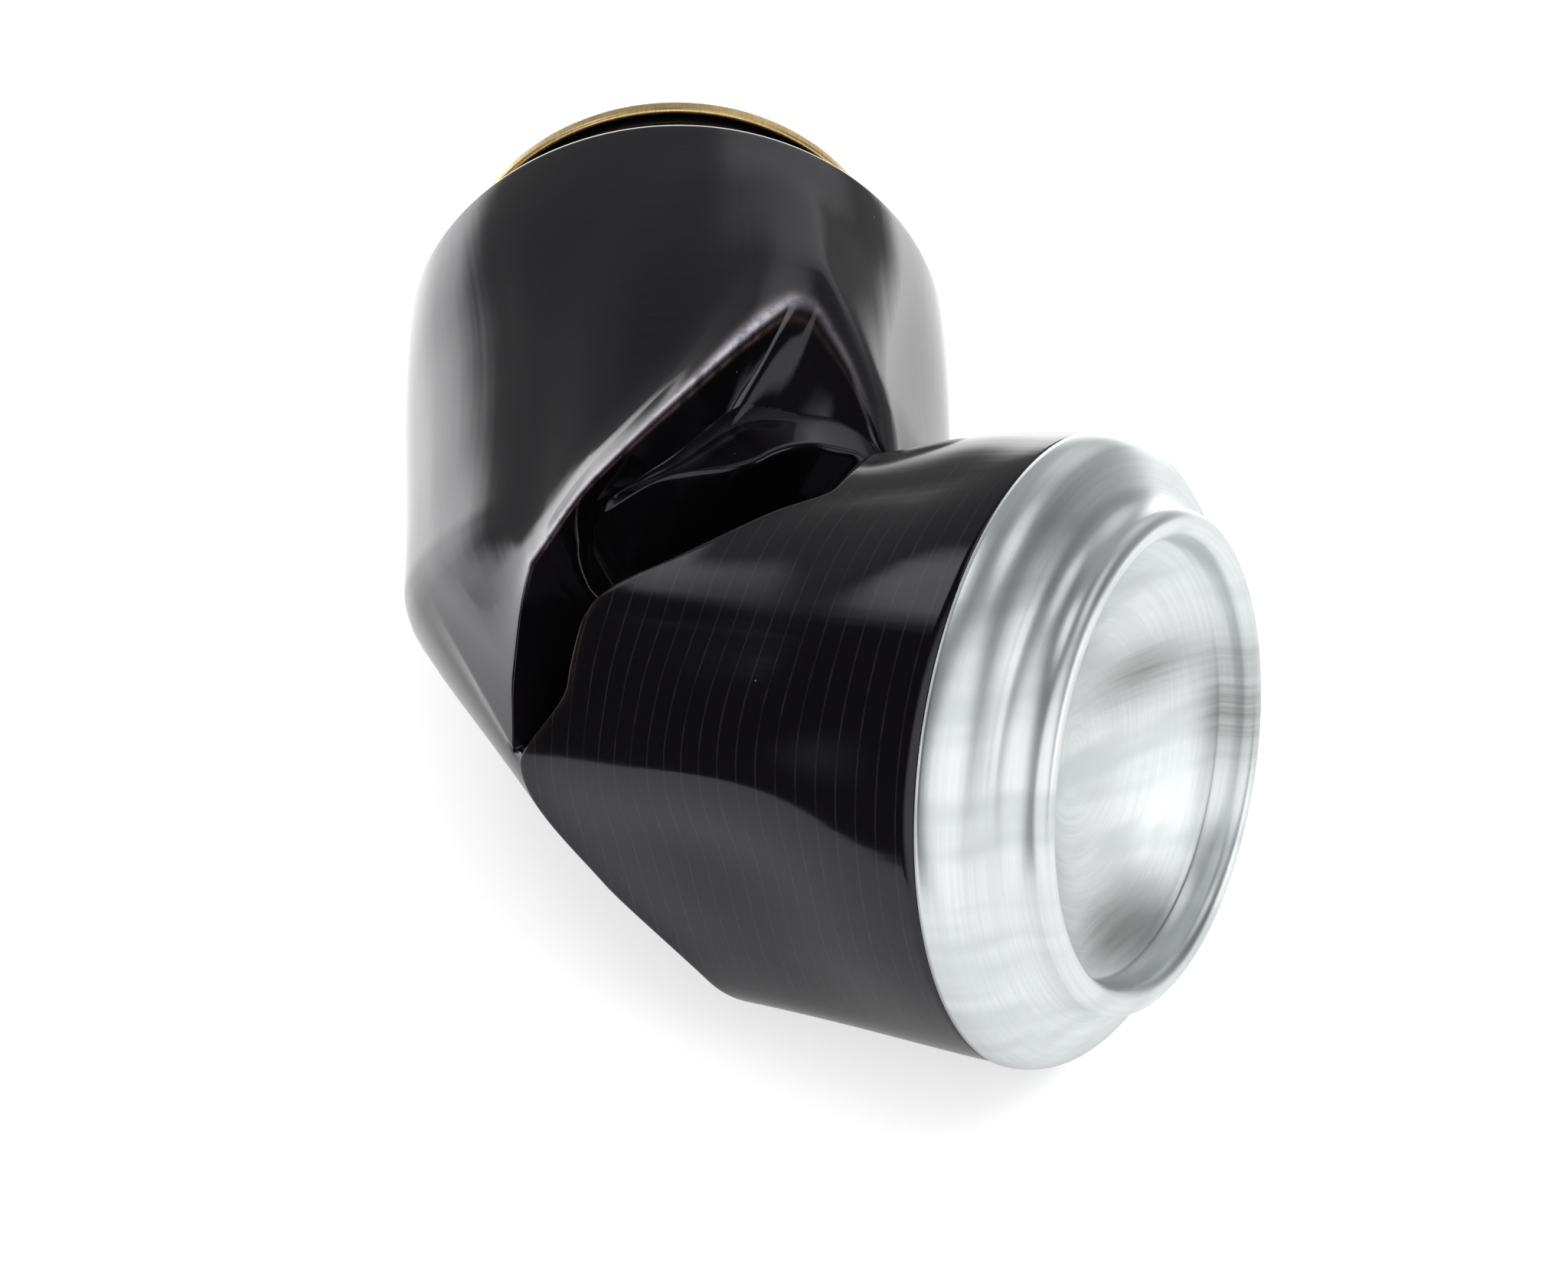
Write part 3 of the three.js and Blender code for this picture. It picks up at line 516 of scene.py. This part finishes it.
# Colour of the rubbed line inside the far crest, and of the painted highlight on the near lip.
WORN_VARNISH_AND_HIGHLIGHT = (0.12, 0.085, 0.07)
print_finish, tree, shader = new_material("black_print")
on_sheet = field(tree, "uncrushed")
up_can = parts_of(tree, on_sheet)[2]
from_line = reckon(tree, "PINGPONG", up_can, HAIRLINE_SPACING / 2)
hairline = ramp_up(tree, from_line, HAIRLINE_CORE, HAIRLINE_EDGE, 1.0, 0.0)
hairline = times(tree, hairline, ramp_up(tree, up_can, 48, 76, 1.0, 0.2))
uneven = noise(tree, stretched(tree, on_sheet, (0.35, 0.35, 0.9)), 1.0)
hairline = times(tree, hairline, ramp_up(tree, uneven, 0.3, 0.62, 0.35, 1.0))
bare_sheen_share, rubbed_and_lit_share, on_outside = parts_of(tree, field(tree, "ridge_wear_and_sheen"))
hairline = times(tree, hairline, on_outside)
scraped = noise(tree, stretched(tree, on_sheet, (0.6, 0.6, 0.35)), 1.0, 5.0, 0.65)
# Pale crest band: partly worn bare sheet, partly painted highlight.
bare = times(tree, bare_sheen_share, ramp_up(tree, scraped, 0.3, 0.55, 0.45, 1.0))
# Rubbed line inside the far crest, and the painted highlight on the near lip.
rubbed = times(tree, rubbed_and_lit_share, ramp_up(tree, scraped, 0.35, 0.6, 0.3, 1.0))
dots = tree.nodes.new("ShaderNodeTexVoronoi")
tree.links.new(on_sheet, dots.inputs["Vector"])
dots.inputs["Scale"].default_value = 0.22
speck = ramp_up(tree, dots.outputs["Distance"], 0.016, 0.026, 1.0, 0.0)
speck = times(tree, speck, ramp_up(tree, uneven, 0.5, 0.56))
colour = blend(tree, hairline, PRINT_BLACK, HAIRLINE)
colour = blend(tree, rubbed, colour, WORN_VARNISH_AND_HIGHLIGHT)
colour = blend(tree, times(tree, speck, 0.6), colour, SPECK)
colour = blend(tree, bare, colour, WORN_SHEET_SHEEN)
tree.links.new(colour, shader.inputs["Base Color"])
smudge = noise(tree, stretched(tree, on_sheet, (0.05, 0.05, 0.03)), 1.0, 3.0)
gloss = ramp_up(tree, smudge, 0.35, 0.7, 0.075, 0.14)
tree.links.new(reckon(tree, "MULTIPLY_ADD", bare, 0.3, gloss), shader.inputs["Roughness"])
drawn = noise(tree, stretched(tree, on_sheet, (0.28, 0.28, 0.012)), 1.0, 2.0)
bumped(tree, shader, drawn, 0.000035)
shader.inputs["IOR"].default_value = 1.5
shader.inputs["Specular Tint"].default_value = (0.93, 0.91, 1, 1)
printed_wall.data.materials.append(print_finish)
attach(printed_wall, "root")
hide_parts("can_body")

# The bare base.
# The drawn bottom of the can has no print: a shoulder, a cove, the standing ring and a dome pressed up inside it.
# Tool marks run round it, and the ring is scuffed where it has stood.
RING_RADIUS = 24.8
RING_NOSE = 1.3
DOME_DEPTH = 10.0
BASE_SHEET = 0.25
BASE_COLUMNS = 256
ring_top = BASE_HEIGHT - RING_NOSE
nose_angle = np.linspace(0, np.pi, 19)
base_profile = np.vstack([
    bezier([(RADIUS, 0), (RADIUS, 0.34 * BASE_HEIGHT), (mix(RING_RADIUS, RADIUS, 0.72), 0.42 * BASE_HEIGHT),
            (mix(RING_RADIUS, RADIUS, 0.46), 0.53 * BASE_HEIGHT)], 20)[:-1],
    bezier([(mix(RING_RADIUS, RADIUS, 0.46), 0.53 * BASE_HEIGHT), (RING_RADIUS + RING_NOSE, 0.63 * BASE_HEIGHT),
            (RING_RADIUS + RING_NOSE, ring_top)], 14)[:-1],
    np.stack([RING_RADIUS + RING_NOSE * np.cos(nose_angle), ring_top + RING_NOSE * np.sin(nose_angle)], axis=1),
    [(RING_RADIUS - 1.2 * RING_NOSE, BASE_HEIGHT - 0.36 * DOME_DEPTH)],
    bezier([(RING_RADIUS - 1.2 * RING_NOSE, BASE_HEIGHT - 0.36 * DOME_DEPTH),
            (0.5 * RING_RADIUS, BASE_HEIGHT - DOME_DEPTH), (0, BASE_HEIGHT - DOME_DEPTH)], 40)[1:],
])


def revolved(profile, columns, place):
    """Round surface from a profile of radius and distance along an axis, placed by one half's own function."""
    angle = np.arange(columns) * 360 / columns
    return place(angle[:, None], profile[None, :, 0], profile[None, :, 1])


def inside_of(profile, sheet):
    """The profile moved sideways by the sheet's thickness, to the left of its own direction."""
    along = unit(np.gradient(profile, axis=0))
    moved = profile + sheet * np.stack([-along[:, 1], along[:, 0]], axis=1)
    moved[:, 0] = np.where(profile[:, 0] < 1e-6, 0, moved[:, 0])
    return moved


def lathe_field(profile, columns):
    """Where each point of a round surface lies: cosine and sine of its turn, and its length along the profile in mm."""
    angle = (np.arange(columns) * 2 * np.pi / columns)[:, None]
    length = np.concatenate([[0], np.cumsum(np.linalg.norm(np.diff(profile, axis=0), axis=1))])[None, :]
    return np.stack(np.broadcast_arrays(np.cos(angle), np.sin(angle), length), axis=-1)


under = inside_of(base_profile, -BASE_SHEET)[::-1]
base_outline = np.vstack([base_profile, under])
NOSE_ROW, RUB_ROWS = 43, 7.0
ring_rub = np.exp(-((np.arange(len(base_outline)) - NOSE_ROW) / RUB_ROWS) ** 2)[None, :] + np.zeros((BASE_COLUMNS, 1))

# The sheet's grain runs straight across the base. Dark patches of painted reflection lie in the dome, and one of
# painted
# shade on the inside of the ring: where each is along and across the grain in mm, and how far it reaches both ways.
GRAIN_TURN = -27
PAINTED_DARK_PATCHES = [(12, 5, 9, 3.6), (-2, -19, 7, 3.5), (22.7, -2, 2.5, 6)]
lathe = lathe_field(base_outline, BASE_COLUMNS)
from_grain = np.arange(BASE_COLUMNS) * 360 / BASE_COLUMNS - GRAIN_TURN
along_grain = np.cos(np.radians(from_grain))[:, None] * base_outline[None, :, 0]
across_grain = np.sin(np.radians(from_grain))[:, None] * base_outline[None, :, 0]
in_dome = smooth_step(lathe[..., 2], 15, 18)
# Painted dark reflection in the dome and painted shade on the inside of the ring.
painted_dark = sum(np.exp(-((along_grain - a) / reach_a) ** 2 - ((across_grain - b) / reach_b) ** 2)
              for a, b, reach_a, reach_b in PAINTED_DARK_PATCHES)
bare_base = grid_mesh(
    "bare_base", pressed(revolved(base_outline + [0, NEAR_LENGTH], BASE_COLUMNS, on_near)), wrap_rows=True, flip=True,
    fields={"lathe": lathe, "ring_rub": ring_rub, "painted_dark_patch": painted_dark * in_dome,
            "grain": np.stack([along_grain, across_grain, in_dome], axis=-1)})

BARE_SHEET = (0.81, 0.84, 0.845)
DULL_SHEET = (0.64, 0.67, 0.68)
SCUFF = (0.2, 0.2, 0.2)
# Colour of the painted dark reflection and shade.
PAINTED_DARK = (0.3, 0.305, 0.3)


def bare_aluminium(name, colour, dull, roughness):
    """Bare drawn sheet: fine tool marks round it, painted dark patches, and grey scuffs where it has stood."""
    material, tree, shader = new_material(name)
    place = field(tree, "lathe")
    marks = noise(tree, stretched(tree, place, (0.9, 0.9, 2.2)), 1.0, 4.0, 0.6)
    fine = noise(tree, stretched(tree, place, (4.0, 4.0, 24.0)), 1.0, 3.0)
    cloud = noise(tree, stretched(tree, place, (0.8, 0.8, 0.3)), 1.0, 2.0)
    stain = noise(tree, stretched(tree, place, (7.0, 7.0, 1.4)), 1.0, 6.0, 0.7)
    scuffed = times(tree, field(tree, "ring_rub", "Fac"), ramp_up(tree, stain, 0.56, 0.64))
    grain = field(tree, "grain")
    in_dome = parts_of(tree, grain)[2]
    drawn_out = noise(tree, stretched(tree, grain, (0.05, 1.1, 0.0)), 1.0, 4.0, 0.6)
    streak = noise(tree, stretched(tree, grain, (0.04, 0.17, 0.0)), 1.0, 2.0)
    tint = blend(tree, times(tree, ramp_up(tree, marks, 0.35, 0.65), 0.4), colour, dull)
    tint = blend(tree, times(tree, ramp_up(tree, streak, 0.42, 0.66), in_dome), tint, dull)
    # Painted dark reflection and shade, broken up along the grain.
    painted_dark_share = times(tree, field(tree, "painted_dark_patch", "Fac"), ramp_up(tree, drawn_out, 0.3, 0.7, 0.65, 1.0))
    tint = blend(tree, painted_dark_share, tint, PAINTED_DARK)
    tree.links.new(blend(tree, times(tree, scuffed, 0.75), tint, SCUFF), shader.inputs["Base Color"])
    shader.inputs["Metallic"].default_value = 0.9
    tree.links.new(ramp_up(tree, cloud, 0.3, 0.7, roughness - 0.03, roughness + 0.04), shader.inputs["Roughness"])
    turned_marks = reckon(tree, "MULTIPLY_ADD", marks, 0.7, times(tree, fine, 0.3))
    turned_marks = times(tree, turned_marks, ramp_up(tree, in_dome, 0, 1, 1, 0.2))
    bumped(tree, shader, reckon(tree, "MULTIPLY_ADD", times(tree, drawn_out, in_dome), 0.5, turned_marks), 0.00002, 0.5)
    return material


bare_finish = bare_aluminium("bare_aluminium", BARE_SHEET, DULL_SHEET, 0.32)
bare_base.data.materials.append(bare_finish)
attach(bare_base, "root")
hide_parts("can_body")

# The inside of the can.
# The half with the lid shows its bare inner face through the opened mouth, a thin tube close inside the printed wall.
LINING_GAP = 0.2
LINING_SHEET = 0.1
lining_rows = np.arange(np.searchsorted(row_number, far_bend_row + 6), outer.shape[1])
lining_outside = (outer - LINING_GAP * grid_normals(outer))[::2, lining_rows]
lining_inside = (outer - (LINING_GAP + LINING_SHEET) * grid_normals(outer))[::2, lining_rows]
lining_place = uncrushed[::2, lining_rows] / [RADIUS, RADIUS, 1]
lining = grid_mesh("lining", np.concatenate([lining_outside, lining_inside[:, ::-1]], axis=1), wrap_rows=True,
                   flip=True, fields={"lathe": np.concatenate([lining_place, lining_place[:, ::-1]], axis=1)})
lining.data.materials.append(bare_finish)
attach(lining, "root")
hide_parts("can_body")

# The lid.
# A gold lacquered end: flat panel, countersink, chuck wall and the seam rolled over the neck. Its mouth is open, and
# the torn panel hangs inside it.
END_SHEET = 0.5
MOUTH_TURN = 64
MOUTH_MIDDLE = 12.1
MOUTH_HALF_LENGTH = 7.5
MOUTH_HALF_WIDTH = 10.0
PANEL_RADIUS = 20.6
PANEL_LEVEL = -4.0
GROOVE_RADIUS = 22.65
GROOVE_ROUND = 0.8
GROOVE_LEVEL = -6.0
CURL_RADIUS = 26.25
CURL_ROUND = 0.9
CURL_LEVEL = -1.15
SKIRT_BOTTOM = -2.6
LID_COLUMNS = 256
lid_x = on_far(MOUTH_TURN, 1, 0)
lid_y = np.cross(far_axis, lid_x)
lid_middle = far_axis * (FAR_LENGTH + NECK_HEIGHT)


def on_lid(points):
    """Points of the lid's own frame placed on the can: x towards the mouth, z out of the far end."""
    return lid_middle + points[..., :1] * lid_x + points[..., 1:2] * lid_y + points[..., 2:] * far_axis


def arc(middle, radius, start, end, steps):
    """Points of a circle from one angle to another, in degrees."""
    angle = np.radians(np.linspace(start, end, steps + 1))
    return np.array(middle) + radius * np.stack([np.cos(angle), np.sin(angle)], axis=1)


round_mouth = np.arange(LID_COLUMNS) * 2 * np.pi / LID_COLUMNS
cosine, sine = np.cos(round_mouth), np.sin(round_mouth)
mouth_edge = np.stack([MOUTH_MIDDLE + MOUTH_HALF_LENGTH * cosine, MOUTH_HALF_WIDTH * sine], axis=1)
to_rim = np.sqrt(PANEL_RADIUS ** 2 - (MOUTH_MIDDLE * sine) ** 2) - MOUTH_MIDDLE * cosine
panel_edge = np.stack([MOUTH_MIDDLE + to_rim * cosine, to_rim * sine], axis=1)
share = np.linspace(0, 1, 18)[None, :, None]
panel = mix(mouth_edge[:, None], panel_edge[:, None], share)
panel_level = PANEL_LEVEL - 0.3 * (1 - smooth_step(np.linalg.norm(panel, axis=2), 18.2, 19.3))
panel_level = panel_level - 0.25 * np.exp(-(share[..., 0] * to_rim[:, None] / 0.7) ** 2)
groove_inside = GROOVE_RADIUS - GROOVE_ROUND
lid_line = np.vstack([
    [(PANEL_RADIUS, PANEL_LEVEL)],
    bezier([(GROOVE_RADIUS - 1.5, PANEL_LEVEL), (groove_inside, PANEL_LEVEL), (groove_inside, PANEL_LEVEL - 0.7)], 6),
    arc((GROOVE_RADIUS, GROOVE_LEVEL), GROOVE_ROUND, 180, 360, 14),
    bezier([(GROOVE_RADIUS + GROOVE_ROUND, GROOVE_LEVEL), (CURL_RADIUS - CURL_ROUND, CURL_LEVEL)], 5)[1:-1],
    arc((CURL_RADIUS, CURL_LEVEL), CURL_ROUND, 180, 0, 18),
    [(CURL_RADIUS + CURL_ROUND, SKIRT_BOTTOM + 0.7), (CURL_RADIUS + CURL_ROUND, SKIRT_BOTTOM)],
])
lid_angle = np.arctan2(panel_edge[:, 1], panel_edge[:, 0])[:, None]


def lid_ring(line):
    """Rings of the lid outside its panel, each point at the angle of its own panel edge point."""
    radius, level = line[None, 1:, 0], line[None, 1:, 1]
    return np.stack([radius * np.cos(lid_angle), radius * np.sin(lid_angle), level + 0 * lid_angle], axis=-1)


half_sheet = END_SHEET / 2
top_panel = np.concatenate([panel, panel_level[..., None] + half_sheet], axis=2)
under_panel = np.concatenate([panel, panel_level[..., None] - half_sheet], axis=2)
lid_grid = np.concatenate([top_panel, lid_ring(inside_of(lid_line, half_sheet)),
                           lid_ring(inside_of(lid_line, -half_sheet))[:, ::-1], under_panel[:, ::-1]], axis=1)
lid = grid_mesh("lid", on_lid(lid_grid), wrap_rows=True, flip=True, fields={"lid_place": lid_grid})


def plate(half_length, half_width, thickness, columns):
    """Oval plate round the origin with rounded edges: rings out over its top face and back under it."""
    angle = (np.arange(columns) * 2 * np.pi / columns)[:, None]
    inset = np.array([1.0, 0.66, 0.33, 0.06, 0.0, 0.0, 0.06, 0.33, 0.66, 1.0])[None, :]
    level = np.array([1.0, 1.0, 1.0, 1.0, 0.8, 0.2, 0.0, 0.0, 0.0, 0.0])[None, :] - 1.0
    return np.stack([(1 - inset) * half_length * np.cos(angle), (1 - inset) * half_width * np.sin(angle),
                     thickness * level + 0 * angle], axis=-1)


TEAR_DROP = np.radians(68)
torn = plate(MOUTH_HALF_LENGTH - 0.6, MOUTH_HALF_WIDTH - 0.6, END_SHEET, 128) + [0, MOUTH_HALF_WIDTH - 1.6, 0]
torn = np.stack([torn[..., 0] + MOUTH_MIDDLE,
                 torn[..., 1] * np.cos(TEAR_DROP) + torn[..., 2] * np.sin(TEAR_DROP) - MOUTH_HALF_WIDTH,
                 torn[..., 2] * np.cos(TEAR_DROP) - torn[..., 1] * np.sin(TEAR_DROP) - 4.3], axis=-1)
tear_panel = grid_mesh("tear_panel", on_lid(torn), flip=True, fields={"lid_place": torn})

RIVET_RADIUS = 1.6
RIVET_HEAD_RADIUS = 2.6
RIVET_TOP = -1.65
rivet_line = np.vstack([
    [(0, RIVET_TOP - 0.15), (1.0, RIVET_TOP - 0.15), (1.35, RIVET_TOP)],
    bezier([(1.9, RIVET_TOP), (RIVET_HEAD_RADIUS, RIVET_TOP), (RIVET_HEAD_RADIUS, RIVET_TOP - 0.7)], 6),
    [(RIVET_RADIUS, RIVET_TOP - 0.75), (RIVET_RADIUS, -4.3), (0, -4.3)],
])
rivet_angle = (np.arange(64) * 2 * np.pi / 64)[:, None]
rivet_grid = np.stack([rivet_line[None, :, 0] * np.cos(rivet_angle), rivet_line[None, :, 0] * np.sin(rivet_angle),
                       rivet_line[None, :, 1] + 0 * rivet_angle], axis=-1)
rivet = grid_mesh("rivet", on_lid(rivet_grid), flip=True, fields={"lid_place": rivet_grid})

GOLD = (0.95, 0.73, 0.37)
GOLD_DEEP = (0.8, 0.56, 0.24)
gold_finish, tree, shader = new_material("gold_lacquer")
place = field(tree, "lid_place")
rolled = noise(tree, stretched(tree, place, (0.25, 5.0, 1.0)), 1.0, 3.0)
tree.links.new(blend(tree, ramp_up(tree, rolled, 0.3, 0.7), GOLD_DEEP, GOLD), shader.inputs["Base Color"])
shader.inputs["Metallic"].default_value = 1
tree.links.new(ramp_up(tree, noise(tree, place, 0.35), 0.3, 0.7, 0.32, 0.45), shader.inputs["Roughness"])
bumped(tree, shader, rolled, 0.000015, 0.4)
for piece in (lid, tear_panel, rivet):
    piece.data.materials.append(gold_finish)
    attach(piece, "root")
    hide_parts("can_end")

# The pull tab.
# A strip of bare sheet with its edges rolled under, a finger hole at its heel, and its nose over the mouth.
TAB_MIDDLE = -4.4
TAB_HALF_LENGTH = 12.0
TAB_HALF_WIDTH = 7.75
FINGER_MIDDLE = -9.2
FINGER_RADIUS = 4.6
ROLL = 1.6
TAB_BOTTOM = -3.7
TAB_COLUMNS = 192
TAB_BRIGHT = (0.8, 0.8, 0.81)
angle = np.arange(TAB_COLUMNS) * 2 * np.pi / TAB_COLUMNS
ahead = FINGER_MIDDLE - TAB_MIDDLE
square = (np.cos(angle) / TAB_HALF_LENGTH) ** 2 + (np.sin(angle) / TAB_HALF_WIDTH) ** 2
slope = 2 * ahead * np.cos(angle) / TAB_HALF_LENGTH ** 2
to_edge = (np.sqrt(slope ** 2 - 4 * square * ((ahead / TAB_HALF_LENGTH) ** 2 - 1)) - slope) / (2 * square)
share = (1 - np.cos(np.linspace(0, np.pi, 33)))[None, :] / 2
out = mix(FINGER_RADIUS, to_edge[:, None], share)
inset = np.minimum(out - FINGER_RADIUS, to_edge[:, None] - out)
swell = 0.5 * np.sqrt(np.clip(1 - (2 * inset / ROLL - 1) ** 2, 0, 1))
tab_x, tab_y = FINGER_MIDDLE + out * np.cos(angle)[:, None], out * np.sin(angle)[:, None]
tab_top = np.stack([tab_x, tab_y, TAB_BOTTOM + 0.5 + swell], axis=-1)
tab_under = np.stack([tab_x, tab_y, TAB_BOTTOM + 0.5 - np.maximum(swell, 0.2)], axis=-1)
tab_grid = np.concatenate([tab_top, tab_under[:, ::-1]], axis=1)
pull_tab = grid_mesh("tab", on_lid(tab_grid), wrap_rows=True, flip=True, fields={"lathe": tab_grid * [0.1, 1.0, 1.0]})
pull_tab.data.materials.append(bare_aluminium("tab_aluminium", TAB_BRIGHT, DULL_SHEET, 0.28))
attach(pull_tab, "root")
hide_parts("pull_tab")

# The studio: a pale floor that ends on the left of the camera, a bright backdrop low behind the can, a dark room with
# a few soft patches of light, and one soft light overhead.
FLOOR_CORNERS = [(-0.9, 0.31, 0), (0.9, -0.645, 0), (0.9, 0.4, 0), (-0.9, 0.4, 0)]
floor_mesh = bpy.data.meshes.new("floor")
floor_mesh.from_pydata(FLOOR_CORNERS, [], [(0, 1, 2, 3)])
floor = bpy.data.objects.new("floor", floor_mesh)
bpy.context.collection.objects.link(floor)
floor_finish, tree, shader = new_material("pale_floor")
shader.inputs["Base Color"].default_value = (0.8, 0.8, 0.8, 1)
shader.inputs["Roughness"].default_value = 0.9

# The floor as it is seen, and as it is mirrored: in front, behind on the left, and what is added on the right.
FLOOR_GLOW = 0.65
FLOOR_GLOW_FRONT = 0.3
FLOOR_GLOW_BEHIND = 1.5
FLOOR_GLOW_RIGHT = 0.8
path = tree.nodes.new("ShaderNodeLightPath")
floor_x, floor_y, _ = parts_of(tree, tree.nodes.new("ShaderNodeTexCoord").outputs["Object"])
to_back_left = reckon(tree, "MULTIPLY_ADD", floor_x, -0.6, floor_y)
mirrored = ramp_up(tree, to_back_left, 0.02, 0.25, FLOOR_GLOW_FRONT, FLOOR_GLOW_BEHIND)
mirrored = reckon(tree, "ADD", mirrored, ramp_up(tree, floor_x, 0.2, 0.6, 0.0, FLOOR_GLOW_RIGHT))
seen = times(tree, reckon(tree, "SUBTRACT", 1.0, path.outputs["Is Glossy Ray"]), FLOOR_GLOW)
glow = reckon(tree, "MULTIPLY_ADD", mirrored, path.outputs["Is Glossy Ray"], seen)
shader.inputs["Emission Color"].default_value = (1, 1, 1, 1)
tree.links.new(glow, shader.inputs["Emission Strength"])
floor.data.materials.append(floor_finish)

# Patches of light in the surround: direction, cosine of the angle to it where the light starts and where it is full,
# and strength. The window is a part of the back wall.
ROOM_GLOW = 0.05
BACK_WALL_GLOW = 0.25
BACKDROP_GLOW = 2.0
WINDOW = ((0.4, 0.79, 0.46), 0.94, 0.985)
WINDOW_GLOW = 0.4
LIGHT_PATCHES = [
    ((-0.53, 0.25, 0.81), 0.955, 0.995, 1.7),
    ((0.08, -0.94, 0.32), 0.5, 0.85, 1.12),
    ((0.97, -0.12, 0.02), 0.94, 0.985, 1.8),
    ((0.45, 0.1, 0.88), 0.94, 0.985, 1.0),
]
world = bpy.data.worlds.new("studio")
bpy.context.scene.world = world
world.use_nodes = True
tree = world.node_tree
to_right, to_back, upward = parts_of(tree, tree.nodes.new("ShaderNodeTexCoord").outputs["Generated"])


def facing(tree, toward, low, high):
    """Soft round patch of the surround about a direction: rises with the cosine of the angle to it."""
    aim = Vector(toward).normalized()
    along = times(tree, to_right, aim.x)
    along = reckon(tree, "MULTIPLY_ADD", to_back, aim.y, along)
    return ramp_up(tree, reckon(tree, "MULTIPLY_ADD", upward, aim.z, along), low, high)


behind = ramp_up(tree, to_back, 0.2, 0.6)
over_horizon = reckon(tree, "MULTIPLY_ADD", reckon(tree, "MAXIMUM", to_right, 0.0), 0.33, upward)
backdrop = ramp_up(tree, over_horizon, 0.02, 0.22, BACKDROP_GLOW, 0.0)
window = times(tree, facing(tree, *WINDOW), WINDOW_GLOW)
wall_light = reckon(tree, "ADD", reckon(tree, "ADD", backdrop, window), BACK_WALL_GLOW)
wall_light = times(tree, behind, wall_light)
room_light = reckon(tree, "ADD", wall_light, ROOM_GLOW)
for toward, low, high, strength in LIGHT_PATCHES:
    room_light = reckon(tree, "MULTIPLY_ADD", facing(tree, toward, low, high), strength, room_light)
path = tree.nodes.new("ShaderNodeLightPath")
background = tree.nodes["Background"]
tree.links.new(reckon(tree, "MAXIMUM", room_light, path.outputs["Is Camera Ray"]), background.inputs["Strength"])
background.inputs["Color"].default_value = (1, 1, 1, 1)


def soft_light(name, place, aim, size, power):
    """Square soft light at a place, in metres, turned to face another place. It isn't mirrored in the gloss print."""
    data = bpy.data.lights.new(name, "AREA")
    data.size = size
    data.energy = power
    light = bpy.data.objects.new(name, data)
    light.location = place
    light.visible_glossy = False
    light.rotation_euler = (Vector(aim) - Vector(place)).to_track_quat("-Z", "Y").to_euler()
    bpy.context.collection.objects.link(light)


soft_light("overhead", (0.15, 0.1, 1.0), (0, 0, 0), 1.4, 7.0)

CAMERA_LENS = 82.04
CAMERA_PITCH = 33.5
CAMERA_FROM_KINK = [10.52, -325.30, 223.10]
camera_data = bpy.data.cameras.new("camera")
camera_data.lens = CAMERA_LENS
camera_data.sensor_width = 36
camera_data.clip_start = 0.01
camera = bpy.data.objects.new("camera", camera_data)
camera.location = ((KINK + CAMERA_FROM_KINK) * MM).tolist()
camera.rotation_euler = (np.radians(90 - CAMERA_PITCH), 0, 0)
bpy.context.collection.objects.link(camera)
bpy.context.scene.camera = camera
bpy.context.scene.view_settings.view_transform = "Standard"
